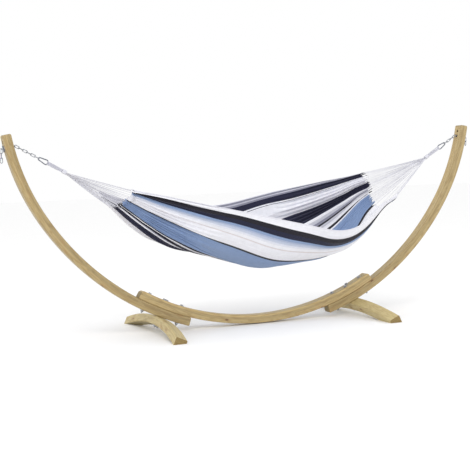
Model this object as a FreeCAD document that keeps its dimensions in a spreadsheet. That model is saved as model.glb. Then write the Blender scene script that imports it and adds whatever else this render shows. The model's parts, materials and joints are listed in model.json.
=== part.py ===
import FreeCAD, Part
import Sketcher
import math
import os

from FreeCAD import Placement, Rotation, Vector

# A hammock hung by two short chains from a bent-wood arc stand.
# Frame: millimetres, +X along the stand, +Z up, the floor at Z = 0, the origin midway between the
# two tips. Everything on the left is the right-hand piece turned half round about Z.
# Angles are in degrees and are measured from straight down, about the arcs' common centre.

DIMENSIONS = {
    # three laminated beams
    "seam_radius": 1608,          # between the centre arc, above, and the arms, below
    "arc_centre_height": 1614,
    "beam_thickness": 54,
    "beam_width": 75,
    "beam_edge_round": 7,
    "centre_half_angle": 30.5,
    "centre_end_round": 22,
    "arm_start_angle": 17.3,
    "arm_bend_angle": 57.4,       # from here up the arm bends more tightly
    "arm_end_angle": 80.5,
    "arm_tip_radius": 1336,
    "arm_tip_round": 11,
    # arched feet
    "foot_angle": 24.06,
    "foot_radius": 1783,
    "foot_thickness": 54.5,
    "foot_width": 73,
    "foot_half_opening": 18.5,    # of the arch, before it is cut off at the floor
    "foot_half_length": 499,
    "foot_room_length": 400,      # the space above the floor that the arch is kept within
    "foot_room_height": 300,
    "foot_edge_round": 6,
    # bolts, nuts and washers
    "bolt_diameter": 10,
    "bolt_hole_diameter": 11,
    "bolt_head_height": 6.5,
    "hexagon_across_corners": 19.6,
    "nut_height": 8,
    "nut_bore": 10.1,
    "washer_diameter": 28,
    "washer_bore": 10.6,
    "washer_thickness": 2.5,
    "lap_bolt_length": 130,
    "foot_bolt_length": 180,
    "lap_bolt_upper_angle": 28.2,
    "lap_bolt_lower_angle": 19.9,
    "foot_bolt_along": 14,        # the two foot bolts stand corner to corner
    "foot_bolt_across": 15,
    "seat_gap": 0.35,             # flat washers on the slightly curved wood
    "bolt_drill_length": 320,
    "bolt_drill_depth": 200,      # how far of it is below the seam
    # chain and its anchor in each tip
    "hole_diameter": 20,
    "spare_hole_from_tip": 42,
    "chain_hole_from_tip": 76,
    "hole_drill_length": 100,
    "hole_drill_lead": 20,
    "link_wire": 4.5,
    "link_pitch": 27,
    "link_inner_width": 8.5,
    "link_play": 0.45,
    "tail_lean": 30,              # of the first spare link's seat, below level
    "keeper_washer_diameter": 36,
    "keeper_washer_bore": 19,
    "keeper_washer_thickness": 3,
    "keeper_pin_diameter": 7,
    "keeper_pin_length": 40,
    "left_hang_angle": 29.5,      # of the chain, below level
    "right_hang_angle": 31,
    # snap hooks
    "hook_wire": 7,
    "hook_narrow_radius": 8,
    "hook_wide_radius": 14,
    "hook_centre_distance": 41,
    "hook_shoulder": 3,           # from the narrow bow's tangent point to the tang
    "hook_nose": 4,               # from the latch face to the wide bow's tangent point
    "gate_pivot_distance": 4.8,
    "gate_heel": 2.8,
    "gate_gap": 0.4,
    "gate_slot": 3,
    "gate_slot_height": 8,
    "gate_fork_clearance": 0.6,
    "gate_notch_depth": 4,
    "gate_notch_length": 6,
    "tang_thickness": 2.4,
    "tongue_side": 4,
    "tongue_thickness": 2,
    "tongue_lead": 3,             # how far the tongue stands out of the latch face
    "gate_pin_diameter": 2.4,
    "gate_pin_length": 6,
    "gate_pin_clearance": 0.05,
    "gate_bore": 3.4,
    "gate_bore_length": 15,
    "gate_bore_shoulder": 0.2,
    "plunger_shoulder": 0.3,
    "plunger_length": 4,
    "plunger_clearance": 0.1,
    "spring_gap": 0.2,
    "spring_clearance": 0.2,
    "spring_wall": 0.6,
    "spring_length": 9,
    # cords
    "eye_strand": 3.4,
    "eye_spacing": 3.7,
    "eye_bend_radius": 7.4,
    "eye_length": 100,
    "whipping_diameter": 27,
    "whipping_length": 28,
    "cord_diameter": 2.6,
    "cord_outer_ring": 10.4,
    "cord_inner_ring": 6.2,
    "cord_clearance": 1,
    "cord_start_gap": 2,
    "cord_fan_half_angle": 98,    # of the ring of cords at the whipping
    "cord_end_share": 0.95,       # of the cloth's end that the cords are spread over
    # fabric
    "bed_thickness": 5,
    "hem_radius": 5,
    "hem_gap": 0.8,
}

# Cross-sections of the fabric: place along X, lowest height, then distance across and height of
# the front edge and of the rear edge.
BED_SECTIONS = [
    (-930, 776, 370, 893, 340, 885),
    (-790, 630, 420, 862, 412, 835),
    (-600, 537, 440, 817, 452, 788),
    (-400, 482, 446, 771, 465, 757),
    (-200, 412, 446, 726, 470, 748),
    (0, 357, 443, 677, 472, 763),
    (200, 372, 438, 630, 473, 802),
    (400, 398, 425, 592, 466, 838),
    (560, 432, 400, 630, 446, 864),
    (720, 545, 350, 738, 400, 892),
    (880, 725, 295, 800, 320, 922),
]
BED_COLUMNS = ("station", "bottom", "front_reach", "front_height", "rear_reach", "rear_height")

EYE_STRANDS = 5
END_CORDS = 16
ANCHOR_LINKS = 3
LEFT_LINKS = 6
RIGHT_LINKS = 4
LEFT_TAIL_LINKS = 3
RIGHT_TAIL_LINKS = 2
CLOSE = 0.01                      # lengths that count as equal
NEAR = 1
PARALLEL = 0.999                  # least cosine between directions that count as parallel
TANGENT_STEP = 0.02
NOTHING = Placement()
HALF_TURN = Placement(Vector(), Rotation(Vector(0, 0, 1), 180))

doc = FreeCAD.newDocument("hammock_on_stand")


# ---------------------------------------------------------------- spreadsheet

def fill_sheet():
    """Write every driving dimension into the spreadsheet and give its cell an alias."""
    rows = dict(DIMENSIONS)
    for number, section in enumerate(BED_SECTIONS, start=1):
        for column, size in zip(BED_COLUMNS, section):
            rows[f"bed_{column}_{number}"] = size
    sheet = doc.addObject("Spreadsheet::Sheet", "Dimensions")
    for row, (alias, size) in enumerate(rows.items(), start=1):
        sheet.set(f"A{row}", alias)
        sheet.set(f"B{row}", str(size))
        sheet.setAlias(f"B{row}", alias)
    doc.recompute()
    return sheet


sheet = fill_sheet()


def size(alias):
    """The number in a cell of the spreadsheet."""
    return float(getattr(sheet, alias))


def bind(thing, **formulas):
    """Tie properties of an object to the spreadsheet: a word is an alias, the rest a formula."""
    for name, formula in formulas.items():
        thing.setExpression(name, formula)


def cell(alias):
    return f"Dimensions.{alias}"


# ---------------------------------------------------------------- frames along the arcs

def outward(angle):
    """Unit vector from the arcs' centre at an angle from straight down, on the right."""
    return Vector(math.sin(math.radians(angle)), 0, -math.cos(math.radians(angle)))


def arc_point(angle, radius):
    return Vector(0, 0, size("arc_centre_height")) + outward(angle) * radius


def arm_tip_centre():
    step = size("seam_radius") - size("arm_tip_radius")
    return Vector(0, 0, size("arc_centre_height")) + outward(size("arm_bend_angle")) * step


def upright(angle):
    """Turn that lays +Z towards the arcs' centre and +X up along the arm."""
    return Rotation(Vector(0, 1, 0), -angle)


def hole_angle(from_tip):
    return size("arm_end_angle") - math.degrees(from_tip / size("arm_tip_radius"))


# ---------------------------------------------------------------- building blocks

def cylinder(name, radius, height, place):
    """A Part cylinder whose radius and height are formulas."""
    solid = doc.addObject("Part::Cylinder", name)
    bind(solid, Radius=radius, Height=height)
    solid.Placement = place
    return solid


def prism(name, height, place):
    """A hexagonal prism, as on a bolt head or a nut."""
    solid = doc.addObject("Part::Prism", name)
    solid.Polygon = 6
    bind(solid, Circumradius=cell("hexagon_across_corners") + " / 2", Height=height)
    solid.Placement = place
    return solid


def box(name, length, width, height, corner):
    solid = doc.addObject("Part::Box", name)
    bind(solid, Length=length, Width=width, Height=height)
    solid.Placement = Placement(corner, Rotation())
    return solid


def bend(name, bend_radius, wire_radius, sweep, place):
    """A stretch of torus in the local XY plane, from +X round by an angle towards +Y."""
    solid = doc.addObject("Part::Torus", name)
    bind(solid, Radius1=bend_radius, Radius2=wire_radius)
    solid.Angle3 = sweep
    solid.Placement = place
    return solid


def along(start, finish):
    """Placement at start with +Z pointing to finish."""
    return Placement(start, Rotation(Vector(0, 0, 1), finish - start))


def fuse(name, solids):
    joined = doc.addObject("Part::MultiFuse", name)
    joined.Shapes = solids
    return joined


def cut(name, base, tools):
    """Base less one tool, or less several tools fused."""
    result = doc.addObject("Part::Cut", name)
    result.Base = base
    result.Tool = tools[0] if len(tools) == 1 else fuse(name + "_tools", tools)
    return result


def copies(label, pattern, places):
    """Separate copies of a pattern piece, kept together as one sub-part."""
    links = []
    for number, place in enumerate(places, start=1):
        link = doc.addObject("App::Link", f"{label}_{number}")
        link.LinkedObject = pattern
        link.LinkPlacement = place
        links.append(link)
    return group(label, links)


def group(label, solids):
    together = doc.addObject("Part::Compound", label)
    together.Links = solids
    together.Label = label
    return together


def origin_plane(body, role):
    return next(feature for feature in body.Origin.OriginFeatures if feature.Role == role)


def new_sketch(body, name, role, offset=0):
    """A sketch on one of the body's own origin planes, moved along that plane's normal."""
    sketch = body.newObject("Sketcher::SketchObject", name)
    sketch.AttachmentSupport = [(origin_plane(body, role), "")]
    sketch.MapMode = "FlatFace"
    sketch.AttachmentOffset = Placement(Vector(0, 0, offset), Rotation())
    return sketch


ORIGIN_POINT = (-1, 1)
VERTICAL_AXIS = -2
START, END, CENTRE = 1, 2, 3


def set_constraint(sketch, kind, *items, formula=None):
    """Add a constraint and, where it has a formula, tie its value to the spreadsheet."""
    number = sketch.addConstraint(Sketcher.Constraint(kind, *items))
    if formula:
        sketch.setExpression(f"Constraints[{number}]", formula)


def place_across(sketch, geometry, point, distance, formula):
    """Hold a point at a distance along the sketch's X from the origin, to either side."""
    ends = (*ORIGIN_POINT, geometry, point) if distance >= 0 else (geometry, point, *ORIGIN_POINT)
    set_constraint(sketch, "DistanceX", *ends, abs(distance), formula=f"abs({formula})")


def place_up(sketch, geometry, point, distance, formula):
    ends = (*ORIGIN_POINT, geometry, point) if distance >= 0 else (geometry, point, *ORIGIN_POINT)
    set_constraint(sketch, "DistanceY", *ends, abs(distance), formula=f"abs({formula})")


def sector(body, name, role, centre, radii, angles):
    """Closed outline between two concentric arcs and two radial lines.

    centre is two formulas, radii the inner and the outer one, angles the first and the last,
    anticlockwise and measured from the sketch's X axis."""
    sketch = new_sketch(body, name, role)
    number = sketch.evalExpression
    middle = Vector(float(number(centre[0])), float(number(centre[1])), 0)
    radius = [float(number(formula)) for formula in radii]
    angle = [math.radians(float(number(formula))) for formula in angles]

    def corner(which_radius, which_angle):
        turn = angle[which_angle]
        return middle + Vector(math.cos(turn), math.sin(turn), 0) * radius[which_radius]

    def arc(which_radius):
        circle = Part.Circle(middle, Vector(0, 0, 1), radius[which_radius])
        return Part.ArcOfCircle(circle, angle[0], angle[1])

    inner = sketch.addGeometry(arc(0))
    outer = sketch.addGeometry(arc(1))
    first = sketch.addGeometry(Part.LineSegment(corner(0, 0), corner(1, 0)))
    last = sketch.addGeometry(Part.LineSegment(corner(0, 1), corner(1, 1)))
    for line, end in ((first, START), (last, END)):
        set_constraint(sketch, "Coincident", inner, end, line, START)
        set_constraint(sketch, "Coincident", outer, end, line, END)
        set_constraint(sketch, "PointOnObject", inner, CENTRE, line)
    set_constraint(sketch, "Coincident", inner, CENTRE, outer, CENTRE)
    place_across(sketch, inner, CENTRE, middle.x, centre[0])
    place_up(sketch, inner, CENTRE, middle.y, centre[1])
    set_constraint(sketch, "Radius", inner, radius[0], formula=radii[0])
    set_constraint(sketch, "Radius", outer, radius[1], formula=radii[1])
    for line, which, formula in ((first, 0, angles[0]), (last, 1, angles[1])):
        reach = f"{centre[0]} + ({radii[1]}) * cos({formula})"
        place_across(sketch, line, END, corner(1, which).x, reach)
    return sketch


def pad(body, sketch, name, length):
    feature = body.newObject("PartDesign::Pad", name)
    feature.Profile = sketch
    feature.SideType = "Symmetric"
    bind(feature, Length=length)
    doc.recompute()
    return feature


def round_edges(body, base, name, radius, test):
    """Fillet the edges of the base feature that pass a test."""
    chosen = [f"Edge{n}" for n, edge in enumerate(base.Shape.Edges, start=1) if test(edge)]
    feature = body.newObject("PartDesign::Fillet", name)
    feature.Base = (base, chosen)
    bind(feature, Radius=radius)
    doc.recompute()
    return feature


def is_across(edge, axis):
    """Whether an edge is a straight one along an axis."""
    straight = edge.Curve.TypeId == "Part::GeomLine"
    return straight and abs(edge.Curve.Direction.dot(axis)) > PARALLEL


# ---------------------------------------------------------------- wooden beams

def beam_body(name, sectors):
    """A bent beam: one pad for each stretch of constant radius, all of the beam's width."""
    body = doc.addObject("PartDesign::Body", name)
    feature = None
    for number, outline in enumerate(sectors, start=1):
        sketch = sector(body, f"{name}_outline_{number}", "XZ_Plane", *outline)
        feature = pad(body, sketch, f"{name}_bend_{number}", cell("beam_width"))
    return body, feature


def on_beam_side(edge):
    """Whether an edge lies in one of a beam's two flat side faces."""
    half_width = size("beam_width") / 2
    return all(abs(abs(vertex.Point.y) - half_width) < CLOSE for vertex in edge.Vertexes)


def make_centre_arc():
    height = cell("arc_centre_height")
    radii = (f"{cell('seam_radius')} - {cell('beam_thickness')}", cell("seam_radius"))
    half = cell("centre_half_angle")
    outline = (("0", height), radii, (f"270 - {half}", f"270 + {half}"))
    body, feature = beam_body("centre_beam", [outline])
    top_radius = size("seam_radius") - size("beam_thickness")
    middle = Vector(0, 0, size("arc_centre_height"))

    def is_top_end(edge):
        level = edge.Vertexes[0].Point
        reach = math.hypot(level.x, level.z - middle.z)
        return is_across(edge, Vector(0, 1, 0)) and reach < top_radius + NEAR

    rounded = round_edges(body, feature, "centre_ends", cell("centre_end_round"), is_top_end)
    round_edges(body, rounded, "centre_edges", cell("beam_edge_round"), on_beam_side)
    return body


def make_arm(name, turn):
    height = cell("arc_centre_height")
    seam = cell("seam_radius")
    tip = cell("arm_tip_radius")
    thick = cell("beam_thickness")
    bend_angle = cell("arm_bend_angle")
    lower = (("0", height), (seam, f"{seam} + {thick}"),
             (f"270 + {cell('arm_start_angle')}", f"270 + {bend_angle}"))
    tip_centre = (f"({seam} - {tip}) * sin({bend_angle})",
                  f"{height} - ({seam} - {tip}) * cos({bend_angle})")
    upper = (tip_centre, (tip, f"{tip} + {thick}"),
             (f"270 + {bend_angle}", f"270 + {cell('arm_end_angle')}"))
    body, feature = beam_body(name + "_beam", [lower, upper])
    centre = arm_tip_centre()
    end_line = outward(size("arm_end_angle"))

    def is_tip_end(edge):
        arm = edge.Vertexes[0].Point - centre
        at_end = abs(arm.cross(end_line).y) < NEAR and arm.x > 0
        return at_end and is_across(edge, Vector(0, 1, 0))

    rounded = round_edges(body, feature, name + "_tip", cell("arm_tip_round"), is_tip_end)

    def is_side_edge(edge):
        return on_beam_side(edge) and edge.Length > size("arm_tip_round") / 2

    round_edges(body, rounded, name + "_edges", cell("beam_edge_round"), is_side_edge)
    body.Placement = turn
    return body


def make_foot(name, turn):
    """An arch across the stand, leaning with the arm, cut off at the floor and plumb at its ends."""
    body = doc.addObject("PartDesign::Body", name + "_arch")
    radius = cell("foot_radius")
    radii = (f"{radius} - {cell('foot_thickness')}", radius)
    opening = cell("foot_half_opening")
    sketch = sector(body, name + "_outline", "YZ_Plane", ("0", f"-{radius}"), radii,
                    (f"90 - {opening}", f"90 + {opening}"))
    feature = pad(body, sketch, name + "_pad", cell("foot_width"))
    half_width = size("foot_width") / 2

    def is_long(edge):
        at_side = all(abs(abs(vertex.Point.x) - half_width) < CLOSE for vertex in edge.Vertexes)
        return at_side and edge.Curve.TypeId == "Part::GeomCircle"

    round_edges(body, feature, name + "_edges", cell("foot_edge_round"), is_long)
    angle = size("foot_angle")
    crown = arc_point(angle, size("seam_radius") + size("beam_thickness"))
    body.Placement = turn.multiply(Placement(crown, upright(angle)))
    corner = Vector(crown.x - size("foot_room_length") / 2, -size("foot_half_length"), 0)
    above_floor = box(name + "_space", cell("foot_room_length"), f"{cell('foot_half_length')} * 2",
                      cell("foot_room_height"), corner)
    above_floor.Placement = turn.multiply(above_floor.Placement)
    trimmed = doc.addObject("Part::Common", name + "_trimmed")
    trimmed.Base = body
    trimmed.Tool = above_floor
    return trimmed


# ---------------------------------------------------------------- bolts

def bolt_pattern(name, length):
    """A hexagon-headed bolt, its shank running down from the origin and its head above it."""
    shank = cylinder(name + "_shank", cell("bolt_diameter") + " / 2", cell(length),
                     Placement(Vector(0, 0, -size(length)), Rotation()))
    head = prism(name + "_head", cell("bolt_head_height"), NOTHING)
    return fuse(name, [shank, head])


def make_bolt_patterns():
    washer = cut("washer", cylinder("washer_disc", cell("washer_diameter") + " / 2",
                                    cell("washer_thickness"), NOTHING),
                 [cylinder("washer_hole", cell("washer_bore") + " / 2",
                           cell("washer_thickness"), NOTHING)])
    nut = cut("nut", prism("nut_hexagon", cell("nut_height"), NOTHING),
              [cylinder("nut_thread", cell("nut_bore") + " / 2", cell("nut_height"), NOTHING)])
    return {"lap_bolts": bolt_pattern("lap_bolt", "lap_bolt_length"),
            "foot_bolts": bolt_pattern("foot_bolt", "foot_bolt_length"),
            "washer": washer, "nut": nut}


def bolt_seats(kind):
    """Where each bolt of a kind crosses the seam: its point, its turn, and the wood below it."""
    thick = size("beam_thickness")
    if kind == "lap_bolts":
        angles = (size("lap_bolt_upper_angle"), size("lap_bolt_lower_angle"))
        return [(arc_point(angle, size("seam_radius")), upright(angle), thick) for angle in angles]
    angle = size("foot_angle")
    turn = upright(angle)
    crossing = arc_point(angle, size("seam_radius"))
    seats = []
    for sign in (1, -1):
        shift = Vector(sign * size("foot_bolt_along"), sign * size("foot_bolt_across"), 0)
        seats.append((crossing + turn.multVec(shift), turn, thick + size("foot_thickness")))
    return seats


def make_bolts(side, turn, patterns):
    """Bolts, washers and nuts of one lap, and the drills that clear their holes."""
    above = size("beam_thickness") + size("seat_gap")
    plate = size("washer_thickness")
    drills = []
    for kind in ("lap_bolts", "foot_bolts"):
        bolts, washers, nuts = [], [], []
        for seam_point, lean, wood in bolt_seats(kind):
            below = wood + size("seat_gap")

            def at(level):
                place = Placement(seam_point + lean.multVec(Vector(0, 0, level)), lean)
                return turn.multiply(place)

            bolts.append(at(above + plate))
            washers += [at(above), at(-below - plate)]
            nuts.append(at(-below - plate - size("nut_height")))
            drills.append(cylinder(f"{side}_{kind}_drill", cell("bolt_hole_diameter") + " / 2",
                                   cell("bolt_drill_length"), at(-size("bolt_drill_depth"))))
        stem = f"{side}_{kind[:-1]}"
        copies(f"{side}_{kind}", patterns[kind], bolts)
        copies(f"{stem}_washers", patterns["washer"], washers)
        copies(f"{stem}_nuts", patterns["nut"], nuts)
    return drills


# ---------------------------------------------------------------- chain

def make_link_pattern():
    """A chain link along the local X axis, in the local XY plane."""
    wire = cell("link_wire") + " / 2"
    bow = f"({cell('link_inner_width')} + {cell('link_wire')}) / 2"
    straight = size("link_pitch") - size("link_inner_width")
    reach = (size("link_inner_width") + size("link_wire")) / 2
    pieces = []
    for sign, turn in ((1, -90), (-1, 90)):
        centre = Vector(sign * straight / 2, 0, 0)
        place = Placement(centre, Rotation(Vector(0, 0, 1), turn))
        pieces.append(bend("link_bow", bow, wire, 180, place))
        start = Vector(-straight / 2, sign * reach, 0)
        pieces.append(cylinder("link_side", wire, f"{cell('link_pitch')} - {cell('link_inner_width')}",
                               along(start, start + Vector(1, 0, 0))))
    return fuse("link", pieces)


LEVEL = Rotation()
ON_EDGE = Rotation(Vector(1, 0, 0), 90)


def chain_places(first_end, direction, count, first_on_edge):
    """Places of a run of links; first_end is where the first link's upper bow has its wire."""
    heading = Rotation(Vector(1, 0, 0), direction)
    spacing = size("link_pitch") - size("link_play")
    centre = first_end + direction * (size("link_pitch") / 2 + size("link_wire") / 2)
    places = []
    for number in range(count):
        on_edge = (number % 2 == 0) == first_on_edge
        spin = ON_EDGE if on_edge else LEVEL
        places.append(Placement(centre + direction * spacing * number, heading.multiply(spin)))
    return places


def bow_wire(place, direction):
    """Centre of a link's bow wire at the end that lies in a direction."""
    return place.Base + direction * (size("link_pitch") + size("link_wire")) / 2


def anchor_frame():
    """Point on the arm's inner face and outward direction of the hole that the chain uses."""
    angle = hole_angle(size("chain_hole_from_tip"))
    return arm_tip_centre() + outward(angle) * size("arm_tip_radius"), outward(angle), angle


def make_anchor(side, turn, link):
    """Links inside the hole, and the pin and washer outside that hold them."""
    face, out, angle = anchor_frame()
    wire = size("link_wire")
    washer_top = size("beam_thickness") + size("keeper_washer_thickness") + size("seat_gap")
    pin_centre = washer_top + size("keeper_pin_diameter") / 2
    outer_bow = pin_centre + size("keeper_pin_diameter") / 2 + wire * 1.5 + 2 * size("link_play")
    first_end = face + out * outer_bow
    inward = out * -1
    centre_shift = size("link_pitch") / 2 + wire / 2
    places = chain_places(first_end - inward * wire, inward, ANCHOR_LINKS, False)
    offset = first_end + inward * centre_shift - places[0].Base
    places = [Placement(place.Base + offset, place.Rotation) for place in places]
    copies(f"{side}_anchor_links", link, [turn.multiply(place) for place in places])

    disc = cylinder(f"{side}_keeper_disc", cell("keeper_washer_diameter") + " / 2",
                    cell("keeper_washer_thickness"), NOTHING)
    hole = cylinder(f"{side}_keeper_hole", cell("keeper_washer_bore") + " / 2",
                    cell("keeper_washer_thickness"), NOTHING)
    washer = cut(f"{side}_keeper_washer", disc, [hole])
    washer_face = face + out * (size("beam_thickness") + size("seat_gap"))
    washer.Placement = turn.multiply(along(washer_face, washer_face + out))
    washer.Label = f"{side}_keeper_washer"

    up_face = outward(angle + 90)
    pin_middle = face + out * pin_centre
    pin_start = pin_middle - up_face * (size("keeper_pin_length") / 2)
    pin = cylinder(f"{side}_keeper_pin", cell("keeper_pin_diameter") + " / 2",
                   cell("keeper_pin_length"), turn.multiply(along(pin_start, pin_middle)))
    pin.Label = f"{side}_keeper_pin"
    return first_end, bow_wire(places[-1], inward)


def make_tail(side, turn, link, hang_point, count):
    """Spare links that hang plumb from the outermost anchor link."""
    down = Vector(0, 0, -1)
    slack = (size("link_inner_width") - size("link_wire")) / 2 - size("link_play")
    lean = math.radians(size("tail_lean"))
    outboard = Vector(slack * math.cos(lean), 0, -slack * math.sin(lean))
    straight = size("link_pitch") - size("link_inner_width")
    first_centre = hang_point + outboard + down * straight / 2
    first_end = first_centre - down * (size("link_pitch") / 2 + size("link_wire") / 2)
    places = chain_places(first_end, down, count, True)
    copies(f"{side}_chain_tail", link, [turn.multiply(place) for place in places])


def make_hanging_chain(side, turn, link, anchor_bow, count, hang_angle):
    """The run of links from the anchor to the snap hook; gives the last bow and the direction."""
    direction = Vector(-math.cos(math.radians(hang_angle)), 0, -math.sin(math.radians(hang_angle)))
    slack = (size("link_inner_width") - size("link_wire")) / 2 - size("link_play")
    half_straight = (size("link_pitch") - size("link_inner_width")) / 2
    first_centre = anchor_bow + direction * (slack + half_straight)
    first_end = first_centre - direction * (size("link_pitch") + size("link_wire")) / 2
    places = chain_places(first_end, direction, count, True)
    copies(f"{side}_chain", link, [turn.multiply(place) for place in places])
    return bow_wire(places[-1], direction), direction


# ---------------------------------------------------------------- snap hooks

def hook_tangent():
    """Direction of the gate's side, and the narrow bow's tangent point, in the hook's plane."""
    rise = size("hook_wide_radius") - size("hook_narrow_radius")
    lean = math.asin(rise / size("hook_centre_distance"))
    side = Vector(math.cos(lean), math.sin(lean), 0)
    normal = Vector(-math.sin(lean), math.cos(lean), 0)
    return side, normal, math.degrees(lean)


def make_hook(side, place):
    """Pear-shaped snap hook in the local XY plane, narrow bow at the origin, wide bow at +X."""
    wire = cell("hook_wire") + " / 2"
    narrow = size("hook_narrow_radius")
    wide = size("hook_wide_radius")
    distance = size("hook_centre_distance")
    heading, normal, lean = hook_tangent()
    spread = 90 + lean
    length = distance * math.cos(math.radians(lean))
    top = normal * narrow
    mirror = Vector(normal.x, -normal.y, 0)
    spine_heading = Vector(heading.x, -heading.y, 0)
    shoulder = size("hook_shoulder")
    pivot_run = shoulder + size("gate_pivot_distance")
    pivot = top + heading * pivot_run
    latch_run = length - size("hook_nose")
    across = Vector(0, 0, 1)
    half_tang = size("tang_thickness") / 2

    narrow_bow = bend(f"{side}_hook_narrow", cell("hook_narrow_radius"), wire, 360 - 2 * spread,
                      Placement(Vector(), Rotation(across, spread)))
    wide_bow = bend(f"{side}_hook_wide", cell("hook_wide_radius"), wire, 2 * spread,
                    Placement(Vector(distance, 0, 0), Rotation(across, -spread)))
    spine_start = mirror * narrow
    spine = cylinder(f"{side}_hook_spine", wire, str(length),
                     along(spine_start, spine_start + spine_heading))
    stub = cylinder(f"{side}_hook_stub", wire, cell("hook_shoulder"), along(top, top + heading))
    nose_start = top + heading * latch_run
    nose = cylinder(f"{side}_hook_nose", wire, cell("hook_nose"),
                    along(nose_start, nose_start + heading))
    tang_end = cylinder(f"{side}_tang_end", cell("gate_heel"), cell("tang_thickness"),
                        Placement(pivot - across * half_tang, Rotation()))
    tang = box(f"{side}_tang", f"{cell('gate_pivot_distance')} + {NEAR}", f"{cell('gate_heel')} * 2",
               cell("tang_thickness"), Vector())
    tang_corner = top + heading * (shoulder - NEAR) - normal * size("gate_heel") - across * half_tang
    tang.Placement = Placement(tang_corner, Rotation(across, lean))
    tongue_side = cell("tongue_side")
    tongue = box(f"{side}_tongue", tongue_side, tongue_side, cell("tongue_thickness"), Vector())
    tongue_low = normal * (size("tongue_side") / 2) + across * (size("tongue_thickness") / 2)
    tongue_corner = top + heading * (latch_run - size("tongue_lead")) - tongue_low
    tongue.Placement = Placement(tongue_corner, Rotation(across, lean))
    solid = fuse(f"{side}_hook_blank",
                 [narrow_bow, wide_bow, spine, stub, nose, tang_end, tang, tongue])
    pin_hole = cylinder(f"{side}_tang_hole",
                        f"{cell('gate_pin_diameter')} / 2 + {cell('gate_pin_clearance')}",
                        cell("gate_pin_length"),
                        Placement(pivot - across * (size("gate_pin_length") / 2), Rotation()))
    hook = cut(f"{side}_snap_hook", solid, [pin_hole])
    hook.Placement = place
    hook.Label = f"{side}_snap_hook"

    make_gate(side, place, pivot, heading, normal, lean, latch_run - pivot_run)
    return place.multVec(pivot)


def make_gate(side, place, pivot, heading, normal, lean, reach):
    """Gate with its pin, and the spring and plunger in its bore."""
    across = Vector(0, 0, 1)
    heel = size("gate_heel")
    gate_start = pivot - heading * heel
    blank = cylinder(f"{side}_gate_blank", cell("hook_wire") + " / 2",
                     str(reach + heel - size("gate_gap")), along(gate_start, pivot))
    half_slot = size("gate_slot") / 2

    def slot(name, start_run, length):
        cutter = box(name, str(length), cell("gate_slot_height"), cell("gate_slot"), Vector())
        low = normal * (size("gate_slot_height") / 2) + across * half_slot
        corner = pivot + heading * start_run - low
        cutter.Placement = Placement(corner, Rotation(across, lean))
        return cutter

    fork_depth = 2 * heel + size("gate_fork_clearance")
    bore_start = pivot + heading * (heel + size("gate_bore_shoulder"))
    pin_length = size("gate_pin_length")
    tools = [slot(f"{side}_gate_fork", -heel - NEAR, fork_depth + NEAR),
             slot(f"{side}_gate_notch", reach - size("gate_notch_depth"), size("gate_notch_length")),
             cylinder(f"{side}_gate_pin_hole", cell("gate_pin_diameter") + " / 2",
                      cell("gate_pin_length") + " * 2",
                      Placement(pivot - across * pin_length, Rotation())),
             cylinder(f"{side}_gate_spring_bore", cell("gate_bore") + " / 2",
                      cell("gate_bore_length"), along(bore_start, bore_start + heading))]
    gate = cut(f"{side}_hook_gate", blank, tools)
    gate.Placement = place
    gate.Label = f"{side}_hook_gate"

    pin = cylinder(f"{side}_gate_pin", cell("gate_pin_diameter") + " / 2", cell("gate_pin_length"),
                   place.multiply(Placement(pivot - across * (pin_length / 2), Rotation())))
    pin.Label = f"{side}_gate_pin"
    bore_radius = cell("gate_bore") + " / 2"
    plunger_start = pivot + heading * (heel + size("plunger_shoulder"))
    plunger = cylinder(f"{side}_gate_plunger", f"{bore_radius} - {cell('plunger_clearance')}",
                       cell("plunger_length"),
                       place.multiply(along(plunger_start, plunger_start + heading)))
    plunger.Label = f"{side}_gate_plunger"
    spring_start = plunger_start + heading * (size("plunger_length") + size("spring_gap"))
    coil_radius = f"{bore_radius} - {cell('spring_clearance')}"
    coil = cylinder(f"{side}_spring_outside", coil_radius, cell("spring_length"), NOTHING)
    core = cylinder(f"{side}_spring_inside", f"{coil_radius} - {cell('spring_wall')}",
                    cell("spring_length"), NOTHING)
    spring = cut(f"{side}_gate_spring", coil, [core])
    spring.Placement = place.multiply(along(spring_start, spring_start + heading))
    spring.Label = f"{side}_gate_spring"


# ---------------------------------------------------------------- cords at the hammock's ends

def make_eye(side, place):
    """Strands looped round the hook's wide bow, and the whipping that binds them."""
    strand = cell("eye_strand") + " / 2"
    turn_radius = size("eye_bend_radius")
    bow_centre = size("hook_centre_distance")
    wide = size("hook_wide_radius")
    binding = bow_centre + wide - size("hook_wire") / 2 + size("eye_length")
    loops = []
    for number in range(EYE_STRANDS):
        offset = (number - (EYE_STRANDS - 1) / 2) * size("eye_spacing")
        turn_x = bow_centre + math.sqrt(wide ** 2 - offset ** 2)
        centre = Vector(turn_x, offset, 0)
        on_end = Rotation(Vector(1, 0, 0), 90).multiply(Rotation(Vector(0, 0, 1), 90))
        round_bow = Placement(centre, on_end)
        pieces = [bend(f"{side}_eye_bend", cell("eye_bend_radius"), strand, 180, round_bow)]
        for sign in (1, -1):
            start = centre + Vector(0, 0, sign * turn_radius)
            pieces.append(cylinder(f"{side}_eye_leg", strand, str(binding - turn_x),
                                   along(start, start + Vector(1, 0, 0))))
        loops.append(fuse(f"{side}_eye_strand", pieces))
    eye = group(f"{side}_eye_cords", loops)
    eye.Placement = place
    start = Vector(binding, 0, 0)
    whipping = cylinder(f"{side}_whipping", cell("whipping_diameter") + " / 2", cell("whipping_length"),
                        place.multiply(along(start, start + Vector(1, 0, 0))))
    whipping.Label = f"{side}_whipping"
    return place.multVec(Vector(binding + size("whipping_length"), 0, 0))


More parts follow.
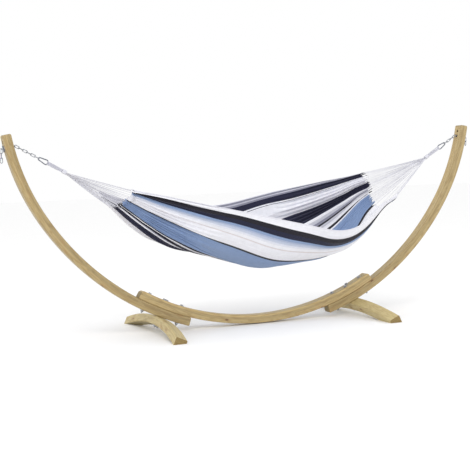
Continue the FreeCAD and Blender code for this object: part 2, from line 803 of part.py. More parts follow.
def section_arcs(section):
    """Radius and opening angle, in degrees, of a section's front and rear arcs."""
    _, bottom, front_reach, front_height, rear_reach, rear_height = section
    arcs = []
    for reach, level in ((front_reach, front_height), (rear_reach, rear_height)):
        rise = level - bottom
        radius = (reach ** 2 + rise ** 2) / (2 * rise)
        arcs.append((radius, math.degrees(math.atan2(reach, radius - rise))))
    return arcs


def end_line_point(section, share, level=0):
    """Point on a section's arcs; share runs from -1 at the front edge to 1 at the rear edge.

    level moves it inside the bowl, square to the cloth."""
    front, rear = section_arcs(section)
    radius, opening = front if share < 0 else rear
    angle = math.radians(opening * share)
    inside = radius - level
    return Vector(section[0], inside * math.sin(angle), section[1] + radius - inside * math.cos(angle))


def hem_point(section, share, outboard):
    """Point on the centre line of the hem across an end of the cloth."""
    shift = outboard * (size("hem_radius") + size("hem_gap"))
    return end_line_point(section, share, size("bed_thickness") / 2) + Vector(shift, 0, 0)


def make_end_cords(side, knot, heading, section, outboard):
    """Cords that fan from the whipping to the hem across the end of the fabric."""
    rear = Vector(0, 1, 0)
    up = heading.cross(rear)
    up = up if up.z > 0 else up * -1
    stand_off = size("hem_radius") + size("cord_diameter") / 2 + size("cord_clearance")
    middle = (END_CORDS - 1) / 2
    cords = []
    for number in range(END_CORDS):
        share = (number - middle) / middle
        ring = size("cord_outer_ring") if number % 2 == 0 else size("cord_inner_ring")
        angle = math.radians(share * size("cord_fan_half_angle"))
        start = knot + rear * ring * math.sin(angle) - up * ring * math.cos(angle)
        inset = size("cord_end_share") * share
        finish = hem_point(section, inset, outboard)
        hem_run = (hem_point(section, inset + TANGENT_STEP, outboard) - finish).normalize()
        run = (finish - start).normalize()
        finish = finish - run * (stand_off / run.cross(hem_run).Length)
        start = start + run * size("cord_start_gap")
        cords.append(cylinder(f"{side}_end_cord", cell("cord_diameter") + " / 2",
                              str((finish - start).Length), along(start, finish)))
    group(f"{side}_end_cords", cords)


# ---------------------------------------------------------------- fabric

def bed_sketch(body, number, section):
    """Closed section of the cloth: two arcs below, two above, and a line at each edge."""
    station = section[0]
    sketch = new_sketch(body, f"bed_section_{number}", "YZ_Plane", station)
    sketch.setExpression("AttachmentOffset.Base.z", cell(f"bed_station_{number}"))
    thick = size("bed_thickness")
    lines = []
    skins = []
    for level in (0, thick):
        skin = []
        for sign, (radius, opening) in zip((-1, 1), section_arcs(section)):
            centre = Vector(0, section[1] + radius, 0)
            circle = Part.Circle(centre, Vector(0, 0, 1), radius - level)
            down = math.radians(270)
            sweep = math.radians(opening)
            first, last = (down - sweep, down) if sign < 0 else (down, down + sweep)
            skin.append(sketch.addGeometry(Part.ArcOfCircle(circle, first, last)))
        skins.append(skin)
    for sign in (-1, 1):
        ends = [end_line_point(section, sign, level) for level in (0, thick)]
        flat = [Vector(point.y, point.z, 0) for point in ends]
        lines.append(sketch.addGeometry(Part.LineSegment(flat[0], flat[1])))
    outer, inner = skins
    for skin in skins:
        set_constraint(sketch, "Coincident", skin[0], END, skin[1], START)
        set_constraint(sketch, "PointOnObject", skin[0], END, VERTICAL_AXIS)
    for which, end in ((0, START), (1, END)):
        set_constraint(sketch, "Coincident", outer[which], end, lines[which], START)
        set_constraint(sketch, "Coincident", inner[which], end, lines[which], END)
        set_constraint(sketch, "Coincident", outer[which], CENTRE, inner[which], CENTRE)
        set_constraint(sketch, "PointOnObject", outer[which], CENTRE, VERTICAL_AXIS)
        set_constraint(sketch, "PointOnObject", outer[which], CENTRE, lines[which])
    bottom = cell(f"bed_bottom_{number}")
    place_up(sketch, outer[0], END, section[1], bottom)
    place_up(sketch, inner[0], END, section[1] + thick, f"{bottom} + {cell('bed_thickness')}")
    place_across(sketch, outer[0], START, -section[2], cell(f"bed_front_reach_{number}"))
    place_up(sketch, outer[0], START, section[3], cell(f"bed_front_height_{number}"))
    place_across(sketch, outer[1], END, section[4], cell(f"bed_rear_reach_{number}"))
    place_up(sketch, outer[1], END, section[5], cell(f"bed_rear_height_{number}"))
    return sketch


def loft(body, name, sketches):
    feature = body.newObject("PartDesign::AdditiveLoft", name)
    feature.Profile = sketches[0]
    feature.Sections = sketches[1:]
    doc.recompute()
    return feature


def make_bed():
    body = doc.addObject("PartDesign::Body", "fabric_bed")
    sketches = [bed_sketch(body, n, section) for n, section in enumerate(BED_SECTIONS, start=1)]
    loft(body, "bed_loft", sketches)
    body.Label = "fabric_bed"


def make_side_hem(name, side):
    """Rolled hem along one long edge, lofted through a circle at each section."""
    body = doc.addObject("PartDesign::Body", name)
    sketches = []
    for number, section in enumerate(BED_SECTIONS, start=1):
        edge = end_line_point(section, side, size("bed_thickness") / 2)
        opening = math.radians(section_arcs(section)[0 if side < 0 else 1][1])
        away = size("hem_radius") + size("hem_gap")
        out, up = away * math.cos(opening), away * math.sin(opening)
        centre = Vector(edge.y + side * out, edge.z + up, 0)
        sketch = new_sketch(body, f"{name}_section_{number}", "YZ_Plane", section[0])
        circle = sketch.addGeometry(Part.Circle(centre, Vector(0, 0, 1), size("hem_radius")))
        set_constraint(sketch, "Radius", circle, size("hem_radius"), formula=cell("hem_radius"))
        sketches.append(sketch)
    loft(body, name + "_loft", sketches)
    body.Label = name


def make_end_hem(name, section, outboard):
    """Rolled hem across one end of the cloth, that the end cords pull on."""
    middle_depth = size("bed_thickness") / 2
    shift = outboard * (size("hem_radius") + size("hem_gap"))
    pieces = []
    for sign, (radius, opening) in zip((-1, 1), section_arcs(section)):
        centre = Vector(section[0] + shift, 0, section[1] + radius)
        start = -90 if sign > 0 else -90 - opening
        stand_up = Rotation(Vector(1, 1, 1), 120)
        place = Placement(centre, stand_up.multiply(Rotation(Vector(0, 0, 1), start)))
        pieces.append(bend(name + "_half", str(radius - middle_depth), cell("hem_radius"), opening,
                           place))
    hem = fuse(name, pieces)
    hem.Label = name


# ---------------------------------------------------------------- assembly

def make_side(side, turn, patterns, link, chain_links, tail_links, hang_alias):
    """Everything that one end of the stand has; gives the drills for the centre arc."""
    drills = make_bolts(side, turn, patterns)
    tip_centre = arm_tip_centre()
    for alias in ("spare_hole_from_tip", "chain_hole_from_tip"):
        angle = hole_angle(size(alias))
        start = tip_centre + outward(angle) * (size("arm_tip_radius") - size("hole_drill_lead"))
        drills.append(cylinder(f"{side}_{alias}_drill", cell("hole_diameter") + " / 2",
                               cell("hole_drill_length"),
                               turn.multiply(along(start, start + outward(angle)))))
    lap_drills, tip_drills = drills[:4], drills[4:]
    arm = cut(f"{side}_arm", make_arm(f"{side}_arm", turn), [*lap_drills, *tip_drills])
    arm.Label = f"{side}_arm"
    foot = cut(f"{side}_foot", make_foot(f"{side}_foot", turn), lap_drills[2:])
    foot.Label = f"{side}_foot"
    outer_bow, inner_bow = make_anchor(side, turn, link)
    make_tail(side, turn, link, outer_bow, tail_links)
    last_bow, direction = make_hanging_chain(side, turn, link, inner_bow, chain_links,
                                             size(hang_alias))
    slack = size("hook_narrow_radius") - size("hook_wire") / 2 - size("link_wire") / 2
    hook_origin = last_bow + direction * (slack - size("link_play"))
    flat_to_plane = Rotation(Vector(1, 0, 0), 90)
    heading = Rotation(Vector(0, 1, 0), 180 - size(hang_alias))
    hook_place = turn.multiply(Placement(hook_origin, heading.multiply(flat_to_plane)))
    pivot = make_hook(side, hook_place)
    knot = make_eye(side, hook_place)
    print(side, "anchor bow", turn.multVec(inner_bow), "tail hinge", turn.multVec(outer_bow))
    print(side, "gate pivot", pivot, "knot", knot)
    section = BED_SECTIONS[-1] if turn is NOTHING else BED_SECTIONS[0]
    outboard = 1 if turn is NOTHING else -1
    make_end_cords(side, knot, turn.Rotation.multVec(direction), section, outboard)
    make_end_hem(f"{side}_end_hem", section, outboard)
    return lap_drills


def build():
    patterns = make_bolt_patterns()
    link = make_link_pattern()
    drills = make_side("right", NOTHING, patterns, link, RIGHT_LINKS, RIGHT_TAIL_LINKS,
                       "right_hang_angle")
    drills += make_side("left", HALF_TURN, patterns, link, LEFT_LINKS, LEFT_TAIL_LINKS,
                        "left_hang_angle")
    arc = cut("centre_arc", make_centre_arc(), drills)
    arc.Label = "centre_arc"
    make_bed()
    make_side_hem("front_hem", -1)
    make_side_hem("rear_hem", 1)
    doc.recompute()


SIDE_NODES = ["arm", "foot", "lap_bolts", "lap_bolt_washers", "lap_bolt_nuts", "foot_bolts",
              "foot_bolt_washers", "foot_bolt_nuts", "anchor_links", "keeper_washer", "keeper_pin",
              "chain_tail", "chain", "snap_hook", "hook_gate", "gate_pin", "gate_plunger",
              "gate_spring", "eye_cords", "whipping", "end_cords", "end_hem"]
NODES = ["centre_arc", "fabric_bed", "front_hem", "rear_hem"]
NODES += [f"{side}_{node}" for side in ("left", "right") for node in SIDE_NODES]


def export():
    """Check every object and shape, then write one STEP file for each sub-part."""
    for thing in doc.Objects:
        if "Invalid" in thing.State or "Error" in thing.State:
            raise RuntimeError(f"{thing.Name} failed: {thing.State}")
    pieces = {}
    for node in NODES:
        piece = doc.getObjectsByLabel(node)[0]
        if piece.Shape.isNull() or not piece.Shape.isValid():
            raise RuntimeError(f"{node} has no valid shape")
        pieces[node] = piece
    os.makedirs("parts", exist_ok=True)
    for node, piece in pieces.items():
        piece.Shape.exportStep(f"parts/{node}.step")


build()
export()
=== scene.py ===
import json
import math
import random

import bmesh
import bpy
import numpy as np
from mathutils import Matrix, Vector


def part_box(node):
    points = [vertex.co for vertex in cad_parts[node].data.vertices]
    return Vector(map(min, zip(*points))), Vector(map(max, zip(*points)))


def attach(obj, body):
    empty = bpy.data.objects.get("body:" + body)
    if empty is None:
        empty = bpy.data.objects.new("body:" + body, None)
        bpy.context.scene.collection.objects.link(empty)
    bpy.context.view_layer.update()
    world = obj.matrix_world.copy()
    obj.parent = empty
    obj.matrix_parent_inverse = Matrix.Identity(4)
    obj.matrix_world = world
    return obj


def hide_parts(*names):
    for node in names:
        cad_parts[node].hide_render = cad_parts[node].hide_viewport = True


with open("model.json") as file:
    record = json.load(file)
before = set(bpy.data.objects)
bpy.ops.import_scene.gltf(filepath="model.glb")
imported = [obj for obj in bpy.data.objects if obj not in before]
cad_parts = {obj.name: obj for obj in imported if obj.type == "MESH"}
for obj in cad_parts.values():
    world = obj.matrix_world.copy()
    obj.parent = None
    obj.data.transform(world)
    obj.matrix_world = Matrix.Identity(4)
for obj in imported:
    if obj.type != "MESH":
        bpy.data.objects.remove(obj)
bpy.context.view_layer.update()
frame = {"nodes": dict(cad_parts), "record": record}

# A striped cloth hammock on a bent-wood arc stand. Metres, +X along the stand, +Y to the rear.
# The stand, chains and hooks are the CAD's own pieces with better materials. The cloth, its hems,
# the fans of cord and the eyes at the hooks are made here, in place of their plain CAD solids.

# The stand's arcs, about centres in the plane Y = 0
ARC_CENTRE_HEIGHT = 1.614
SEAM_RADIUS = 1.608
TIP_RADIUS = 1.336
ARM_BEND = math.radians(57.4)
FOOT_LEAN = math.radians(24.06)
FOOT_RADIUS = 1.783
BEAM_THICKNESS = 0.054
BEAM_LAMELLAS = 4
FOOT_LAMELLAS = 3

# The cloth as it was cut, and how it is gathered
CLOTH_WIDTH = 1.30
CLOTH_LENGTH = 2.05
CLOTH_THICKNESS = 0.0012
CAD_CLOTH_MIDDLE = 0.0025         # from the CAD bed's outer face to its middle
BED_CUTS = 60                     # where the CAD bed is measured, from just inside its ends
BED_INSET = 0.001
CLOTH_ROWS = 168
CLOTH_COLUMNS = 209
PLEATS = 26
PLEAT_REACH = 0.60                # how far from each end the pleats run in
PLEAT_FADE = 1.3
LEAST_GATHER = 1.3                # cut width over the width it is gathered to
MOST_GATHER = 3.2
FOLD_REACH = 0.95                 # broader folds run further in
FOLD_DEPTH = 0.006
FOLD_SLANT = 2.2                  # radians for each metre along
PLEATS_TO_FOLD = 3
TONGUE_DEPTH = 0.026              # of the scalloped ends between the cords
PULL_ROWS = 30
PLEAT_SEED = 4
TONGUE_SEED = 9
UNEVEN_PLEATS = 1.4               # radians
PLEAT_PASSES = 30                 # of smoothing, for the unevenness of the pleats and the bowl
BOWL_PASSES = 15
# How far each end of the cloth is drawn towards its knot, by share of the way to the rear edge
END_PULLS = {
    "left": [(0.0, -0.020), (0.15, -0.035), (0.4, 0.0), (1.0, 0.0)],
    "right": [(0.0, -0.04), (0.25, -0.02), (0.4, 0.015), (0.6, 0.06), (0.85, 0.07), (1.0, 0.05)],
}
SPARE_WIDTH = 1.06                # the cut cloth's width over its bowl's
HELD_END = 0.10                   # how far in from its end and its side the cloth is held
HELD_SIDE = 0.05
HOLD_SIDE = 0.8
HOLD_MIDDLE = 0.12
SETTLE_FRAMES = 18
MOST_SETTLING = 0.022
SIDE_HEM = 0.0020                 # half thickness of the hems along the sides and at the ends
END_HEM = 0.0016

# Cords, the eyes at the hooks and the whippings
REARWARD = Vector((0, 1, 0))
CORD_RADIUS = 0.0011
KNOT_RADIUS = 0.0095              # of the outer ring of cords in the whipping
INNER_RING = 0.6                  # the inner ring's size over the outer's
FIRST_LEG_RING = 0.8              # each loop's first leg starts a little further in
KNOT_SPREAD = math.radians(98)
LEG_SPLAY = 0.02
SIDE_SAG = 0.003
LEAST_SAG = 0.001
MOST_SAG = 0.006
FAN_SEEDS = {"left": 7, "right": 11}
FAN_STEPS = 16
FAN_START = 0.004                 # inside the whipping
FAN_GAP = 0.0028                  # from the cloth to each leg of a loop
EYE_LOOPS = 6
EYE_SPACING = 0.0036
EYE_STRAND = 0.0015               # radius
EYE_TURN_STEPS = 8
HOOK_WIRE = 0.007                 # thickness
HOOK_BOW = 0.014                  # radius of the wide end's bend
WHIPPING_CORE = 0.0112            # radius of the bound strands, and of the cord round them
WHIPPING_CORD = 0.0013
WHIPPING_TURNS = 11
WHIPPING_STEPS = 20               # to a turn
CORE_STEPS = 12
CORE_TAPER = 0.1                  # share by which the core narrows at its ends


# ---------------------------------------------------------------- places read from the frame

def points_of(node):
    mesh = frame["nodes"][node].data
    flat = np.empty(len(mesh.vertices) * 3)
    mesh.vertices.foreach_get("co", flat)
    return flat.reshape(-1, 3)


def reach_along(node, direction):
    """Nearest and furthest point of a node along a direction, as distances from the origin."""
    distances = points_of(node) @ np.array(direction)
    return distances.min(), distances.max()


def outward_sign(side):
    return 1 if side == "right" else -1


# ---------------------------------------------------------------- materials

class Shader:
    """One material. Each method adds a node and gives back its output."""

    def __init__(self, name):
        self.material = bpy.data.materials.new(name)
        self.material.use_nodes = True
        self.tree = self.material.node_tree
        self.surface = self.tree.nodes["Principled BSDF"]
        self.place = self.node("TexCoord")

    def node(self, kind, inputs=None, **settings):
        made = self.tree.nodes.new("ShaderNode" + kind)
        for name, value in settings.items():
            setattr(made, name, value)
        for socket, value in (inputs or {}).items():
            self.feed(made.inputs[socket], value)
        return made

    def feed(self, socket, value):
        if isinstance(value, bpy.types.NodeSocket):
            self.tree.links.new(value, socket)
        else:
            socket.default_value = value

    def finish(self, **sockets):
        """Set the surface's own sockets, by name with _ for a space, and give the material."""
        for name, value in sockets.items():
            self.feed(self.surface.inputs[name.replace("_", " ")], value)
        return self.material

    def math(self, operation, *values):
        return self.node("Math", dict(enumerate(values)), operation=operation).outputs[0]

    def total(self, *values):
        result = values[0]
        for value in values[1:]:
            result = self.math("ADD", result, value)
        return result

    def axes(self, vector):
        return self.node("SeparateXYZ", {0: vector}).outputs

    def vector(self, x, y, z):
        return self.node("CombineXYZ", {0: x, 1: y, 2: z}).outputs[0]

    def stretched(self, place, scales):
        """A vector from three numbers, each times its own scale."""
        return self.vector(*(self.math("MULTIPLY", part, scale) for part, scale in zip(place, scales)))

    def off_middle(self, value):
        """How far the fraction of a number lies from a half."""
        return self.math("ABSOLUTE", self.math("SUBTRACT", self.math("FRACT", value), 0.5))

    def toned(self, colour, tone):
        return self.blend(1.0, colour, self.vector(tone, tone, tone), "MULTIPLY")

    def noise(self, vector, scale, detail=2.0, roughness=0.5, distortion=0.0):
        inputs = {"Vector": vector, "Scale": scale, "Detail": detail, "Roughness": roughness,
                  "Distortion": distortion}
        return self.node("TexNoise", inputs).outputs["Fac"]

    def random(self, number):
        return self.node("TexWhiteNoise", {"W": number}, noise_dimensions="1D").outputs["Value"]

    def ease(self, value, start, end):
        """Smooth step from 0 at start to 1 at end."""
        inputs = {"Value": value, "From Min": start, "From Max": end}
        return self.node("MapRange", inputs, interpolation_type="SMOOTHSTEP").outputs[0]

    def spread(self, value, start, end, low, high):
        """Straight line from low at start to high at end."""
        inputs = {"Value": value, "From Min": start, "From Max": end, "To Min": low, "To Max": high}
        return self.node("MapRange", inputs).outputs[0]

    def blend(self, share, first, second, kind="MIX"):
        inputs = {"Factor": share, 6: first, 7: second}
        return self.node("Mix", inputs, data_type="RGBA", blend_type=kind).outputs[2]

    def bump(self, height, distance, strength):
        inputs = {"Height": height, "Distance": distance, "Strength": strength}
        return self.node("Bump", inputs).outputs[0]


def rgb(red, green, blue):
    """An sRGB colour, 0 to 255 a channel, as the linear colour that a shader takes."""
    def linear(value):
        share = value / 255
        return share / 12.92 if share <= 0.04045 else ((share + 0.055) / 1.055) ** 2.4
    return (linear(red), linear(green), linear(blue), 1.0)


def polar(shader, across, down):
    """Distance from a centre and angle from straight down."""
    radius = shader.math("SQRT", shader.math("ADD", shader.math("MULTIPLY", across, across),
                                             shader.math("MULTIPLY", down, down)))
    return radius, shader.math("ARCTAN2", across, down)


# Wood: how much each lamella's grain is shifted, and how the grain, its broader bands, the knots
# and the end grain are stretched along, through and across a beam
LAMELLA_SHIFT = 23.0
BEAM_SIDE_SHIFT = 7.3             # keeps the two arms' and the two feet's grain from being alike
FOOT_SIDE_SHIFT = 3.7
FIBRE_STRETCH = (2.2, 75.0, 75.0)
BAND_STRETCH = (1.4, 9.0, 16.0)
BAND_COUNT = 60.0
KNOT_STRETCH = (9.0, 15.0, 15.0)
KNOT_FREE = 0.72                  # share of the knot cells that stay empty
KNOT_EDGE = (0.14, 0.08)
HALO_EDGE = (0.42, 0.12)
END_STRETCH = (9.0, 60.0, 26.0)
END_RING_COUNT = 52.0
LAMELLA_TONES = (0.76, 1.26)
WARM_WOOD = (1.06, 1.0, 0.92, 1.0)
COOL_WOOD = (0.96, 1.0, 1.02, 1.0)
HALO_COLOUR = rgb(158, 118, 68)
KNOT_COLOUR = rgb(92, 58, 32)
GLUE_COLOUR = rgb(120, 92, 56)
END_RING_COLOUR = rgb(108, 86, 48)


def beam_coordinates(shader):
    """Along the grain, through the lamellas from the seam outwards, and across a beam."""
    x, y, z = shader.axes(shader.place.outputs["Object"])
    out = shader.math("ABSOLUTE", x)
    radius, angle = polar(shader, out, shader.math("SUBTRACT", ARC_CENTRE_HEIGHT, z))
    step = SEAM_RADIUS - TIP_RADIUS
    tip_x = step * math.sin(ARM_BEND)
    tip_z = ARC_CENTRE_HEIGHT - step * math.cos(ARM_BEND)
    tip_radius, tip_angle = polar(shader, shader.math("SUBTRACT", out, tip_x),
                                  shader.math("SUBTRACT", tip_z, z))
    is_tip = shader.math("GREATER_THAN", angle, ARM_BEND)
    low_run = shader.math("MULTIPLY", angle, SEAM_RADIUS)
    tip_run = shader.total(shader.math("MULTIPLY", tip_angle, TIP_RADIUS), step * ARM_BEND)

    def choose(low, tip):
        return shader.node("Mix", {"Factor": is_tip, 2: low, 3: tip}).outputs[0]

    side = shader.math("MULTIPLY", shader.math("SIGN", x), BEAM_SIDE_SHIFT)
    along = shader.total(choose(low_run, tip_run), side)
    depth = choose(shader.math("SUBTRACT", radius, SEAM_RADIUS),
                   shader.math("SUBTRACT", tip_radius, TIP_RADIUS))
    turn = choose(angle, tip_angle)
    heading = shader.vector(shader.math("MULTIPLY", shader.math("COSINE", turn),
                                        shader.math("SIGN", x)),
                            0.0, shader.math("SINE", turn))
    return along, depth, y, heading


def foot_coordinates(shader):
    """The same along an arched foot, which leans in with the arm above it."""
    x, y, z = shader.axes(shader.place.outputs["Object"])
    crown_radius = SEAM_RADIUS + BEAM_THICKNESS
    crown_x = crown_radius * math.sin(FOOT_LEAN)
    crown_z = ARC_CENTRE_HEIGHT - crown_radius * math.cos(FOOT_LEAN)
    right = shader.math("SUBTRACT", shader.math("ABSOLUTE", x), crown_x)
    rise = shader.math("SUBTRACT", z, crown_z)
    lean_cos, lean_sin = math.cos(FOOT_LEAN), math.sin(FOOT_LEAN)
    across = shader.math("ADD", shader.math("MULTIPLY", right, lean_cos),
                         shader.math("MULTIPLY", rise, lean_sin))
    up = shader.math("SUBTRACT", shader.math("MULTIPLY", rise, lean_cos),
                     shader.math("MULTIPLY", right, lean_sin))
    radius, angle = polar(shader, y, shader.math("ADD", up, FOOT_RADIUS))
    side = shader.math("MULTIPLY", shader.math("SIGN", x), FOOT_SIDE_SHIFT)
    along = shader.total(shader.math("MULTIPLY", angle, FOOT_RADIUS), side)
    depth = shader.math("SUBTRACT", FOOT_RADIUS, radius)
    heading = shader.vector(0.0, shader.math("COSINE", angle), 0.0)
    return along, depth, across, heading


def make_wood(name, coordinates, lamellas, seed, pale, mid, dark, end_colour):
    """Laminated softwood: lamellas with glue lines, fibres, growth bands, knots and end grain."""
    shader = Shader(name)
    along, depth, across, heading = coordinates(shader)
    layers = shader.math("DIVIDE", depth, BEAM_THICKNESS / lamellas)
    number = shader.random(shader.total(shader.math("FLOOR", layers), seed))
    shift = shader.math("MULTIPLY", number, LAMELLA_SHIFT)
    shifted_along = shader.total(along, shift)
    shifted_depth = shader.total(depth, shift)
    fibre_place = shader.stretched((shifted_along, shifted_depth, across), FIBRE_STRETCH)
    fibres = shader.noise(fibre_place, 4.0, detail=5.0, roughness=0.65)
    band_place = shader.stretched((shifted_along, depth, across), BAND_STRETCH)
    bands = shader.noise(band_place, 1.6, detail=3.0, distortion=0.6)
    growth = shader.ease(shader.math("SINE", shader.math("MULTIPLY", bands, BAND_COUNT)), -0.2, 1.0)

    knot_place = shader.stretched((shifted_along, shifted_depth, across), KNOT_STRETCH)
    cells = shader.node("TexVoronoi", {"Vector": knot_place, "Scale": 1.0, "Randomness": 1.0})
    rare = shader.math("GREATER_THAN", shader.axes(cells.outputs["Color"])[0], KNOT_FREE)
    rough_edge = shader.math("MULTIPLY", shader.math("SUBTRACT", fibres, 0.5), 0.08)
    away = shader.math("ADD", cells.outputs["Distance"], rough_edge)
    knot = shader.math("MULTIPLY", rare, shader.ease(away, *KNOT_EDGE))
    halo = shader.math("MULTIPLY", rare, shader.ease(away, *HALO_EDGE))

    colour = shader.blend(fibres, pale, mid)
    colour = shader.blend(shader.math("MULTIPLY", growth, 0.42), colour, dark)
    colour = shader.toned(colour, shader.spread(number, 0.0, 1.0, *LAMELLA_TONES))
    warmth = shader.blend(shader.noise(band_place, 0.7), WARM_WOOD, COOL_WOOD)
    colour = shader.blend(1.0, colour, warmth, "MULTIPLY")
    colour = shader.blend(shader.math("MULTIPLY", halo, 0.45), colour, HALO_COLOUR)
    colour = shader.blend(shader.math("MULTIPLY", knot, 0.75), colour, KNOT_COLOUR)

    # Glue shows between lamellas, and not on the beam's own outer faces.
    outermost = shader.off_middle(shader.math("DIVIDE", depth, BEAM_THICKNESS))
    glue = shader.math("MULTIPLY", shader.ease(outermost, 0.49, 0.48),
                       shader.ease(shader.off_middle(layers), 0.47, 0.495))
    colour = shader.blend(shader.math("MULTIPLY", glue, 0.5), colour, GLUE_COLOUR)

    facing = shader.node("VectorMath", {0: shader.place.outputs["Normal"], 1: heading},
                         operation="DOT_PRODUCT").outputs["Value"]
    sawn = shader.ease(shader.math("ABSOLUTE", facing), 0.72, 0.95)
    end_place = shader.stretched((number, depth, across), END_STRETCH)
    end_noise = shader.noise(end_place, 0.8, detail=1.0)
    end_rings = shader.ease(shader.math("SINE", shader.math("MULTIPLY", end_noise, END_RING_COUNT)),
                            -0.6, 0.9)
    end_grain = shader.blend(shader.math("MULTIPLY", end_rings, 0.5), end_colour, END_RING_COLOUR)
    colour = shader.blend(sawn, colour, end_grain)

    height = shader.total(shader.math("MULTIPLY", fibres, 0.5), shader.math("MULTIPLY", glue, -0.6),
                          shader.math("MULTIPLY", growth, 0.15))
    rough = shader.spread(fibres, 0.2, 0.8, 0.44, 0.62)
    return shader.finish(Base_Color=colour, Roughness=rough, Coat_Weight=0.12, Coat_Roughness=0.35,
                         Normal=shader.bump(height, 0.0006, 0.55))


PATCHES_PER_METRE = 95.0
PITS_PER_METRE = 900.0


def make_metal(name, clean, dull, grain):
    """Zinc-plated steel: soft crystals, duller patches and fine pits."""
    shader = Shader(name)
    place = shader.place.outputs["Object"]
    crystals = shader.node("TexVoronoi", {"Vector": place, "Scale": grain})
    patches = shader.noise(place, PATCHES_PER_METRE, detail=4.0, roughness=0.6)
    pits = shader.noise(place, PITS_PER_METRE)
    share = shader.math("ADD", shader.math("MULTIPLY", crystals.outputs["Distance"], 0.35),
                        shader.ease(patches, 0.35, 0.7))
    colour = shader.blend(shader.math("MULTIPLY", share, 0.8), clean, dull)
    rough = shader.spread(patches, 0.3, 0.7, 0.26, 0.5)
    return shader.finish(Base_Color=colour, Metallic=0.85, Roughness=rough,
                         Normal=shader.bump(pits, 0.00005, 0.5))


WHITE = rgb(236, 236, 242)
INK = rgb(14, 10, 26)
DEEP_NAVY = rgb(16, 20, 50)
NAVY = rgb(26, 27, 55)
BLUE = rgb(130, 152, 190)
DEEP_BLUE = rgb(70, 92, 136)
WARM = rgb(217, 209, 211)
# Painted shade: a greyer white for the white cloth where its underside lies in shade, from 0.980 to
# 1.060 m
WHITE_IN_PAINTED_SHADE = rgb(215, 214, 221)
GREY = rgb(196, 196, 206)
DARK_GREY = rgb(140, 140, 156)

# Stripes across the flat cloth, as cut: where each starts, in metres from the front edge.
STRIPES = [
    (0.0, WHITE), (0.060, INK), (0.090, DEEP_NAVY), (0.120, BLUE), (0.190, WHITE), (0.200, WARM),
    (0.209, WHITE), (0.326, INK), (0.350, BLUE), (0.452, DEEP_BLUE), (0.457, BLUE),
    (0.560, DEEP_BLUE), (0.567, BLUE), (0.640, WHITE), (0.652, INK), (0.680, WHITE), (0.700, GREY),
    # From 0.980 to 1.060 the white cloth is greyed as painted shade on its underside, with a grey line
    # in it
    (0.716, INK), (0.728, DARK_GREY), (0.742, GREY), (0.762, WHITE), (0.790, NAVY), (0.980, WHITE_IN_PAINTED_SHADE),
    (1.008, GREY), (1.020, WHITE_IN_PAINTED_SHADE), (1.060, WHITE), (1.160, NAVY), (1.165, WHITE), (1.180, NAVY),
    (1.250, DARK_GREY), (1.266, GREY), (1.276, DARK_GREY),
]
FADE_START = 0.122                # where blue yarns give way to white ones, bit by bit
FADE_END = 0.190
RAMP_STEP = 0.006                 # a colour ramp holds 256 steps, so an edge may come this late
STRIPE_WANDER = 0.0012
YARN = 0.0011                     # pitch of the yarns, and of the hems' stitches
STITCH = 0.004
WEFT_STRETCH = (1.0, 300.0, 1.0)
SLUB_STRETCH = (520.0, 30.0, 1.0)
FLUFF_PER_METRE = 38.0
CORD_FUZZ_PER_METRE = 700.0
STAINS_PER_METRE = 14.0
HEM_FUZZ_PER_METRE = 300.0
TWISTS_PER_METRE = 260.0
PLIES = 3.0
HEM_TURN = 0.005                  # length of the UV map round a hem
STITCH_ROWS = 2


def woven_height(shader, across, along, pitch):
    """Plain weave: two crossed sets of yarns that go over and under each other."""
    warp = shader.math("SINE", shader.math("MULTIPLY", across, 2 * math.pi / pitch))
    weft = shader.math("SINE", shader.math("MULTIPLY", along, 2 * math.pi / pitch))
    over = shader.math("MULTIPLY", warp, weft)
    ribs = shader.math("MULTIPLY", shader.math("ABSOLUTE", warp), 0.6)
    return shader.total(over, ribs)


def make_cloth_material():
    """Woven cotton with stripes along its length; UV runs across and along the flat cloth."""
    shader = Shader("striped_cotton")
    across, along, _ = shader.axes(shader.node("UVMap", uv_map="flat").outputs[0])
    wander = shader.noise(shader.vector(shader.math("MULTIPLY", across, 9.0), along, 0.0), 6.0)
    spot = shader.total(across, shader.spread(wander, 0.0, 1.0, -STRIPE_WANDER, STRIPE_WANDER))
    ramp = shader.node("ValToRGB", {0: shader.math("DIVIDE", spot, CLOTH_WIDTH)})
    ramp.color_ramp.interpolation = "CONSTANT"
    stops = ramp.color_ramp.elements
    for stop, (start, colour) in zip(stops, STRIPES):
        stop.position = start / CLOTH_WIDTH
        stop.color = colour
    for start, colour in STRIPES[2:]:
        stops.new(start / CLOTH_WIDTH).color = colour

    luck = shader.random(shader.math("FLOOR", shader.math("DIVIDE", spot, YARN)))
    fade = shader.spread(spot, FADE_START, FADE_END, -0.1, 1.15)
    in_fade = shader.math("MULTIPLY", shader.math("GREATER_THAN", spot, FADE_START),
                          shader.math("LESS_THAN", spot, FADE_END + RAMP_STEP))
    paling = shader.total(fade, shader.spread(luck, 0.0, 1.0, -0.1, 0.1))
    paling = shader.node("Clamp", {0: paling}).outputs[0]
    colour = shader.blend(shader.math("MULTIPLY", paling, in_fade), ramp.outputs[0], WHITE)

    yarn_tone = shader.spread(luck, 0.0, 1.0, 0.93, 1.05)
    weft = shader.noise(shader.stretched((0.0, along, 0.0), WEFT_STRETCH), 1.0)
    weft_tone = shader.spread(weft, 0.3, 0.7, 0.96, 1.03)
    fluff = shader.noise(shader.place.outputs["Object"], FLUFF_PER_METRE, detail=5.0)
    fluff_tone = shader.spread(fluff, 0.2, 0.8, 0.94, 1.05)
    tone = shader.math("MULTIPLY", shader.math("MULTIPLY", yarn_tone, weft_tone), fluff_tone)
    colour = shader.toned(colour, tone)

    weave = woven_height(shader, across, along, 2 * YARN)
    slub = shader.noise(shader.stretched((across, along, 0.0), SLUB_STRETCH), 1.0, detail=3.0)
    height = shader.total(weave, shader.math("MULTIPLY", slub, 1.4))
    rough = shader.spread(slub, 0.0, 1.0, 0.82, 0.97)
    return shader.finish(Base_Color=colour, Roughness=rough, Sheen_Weight=0.08, Sheen_Roughness=0.5,
                         Normal=shader.bump(height, 0.0004, 0.6))


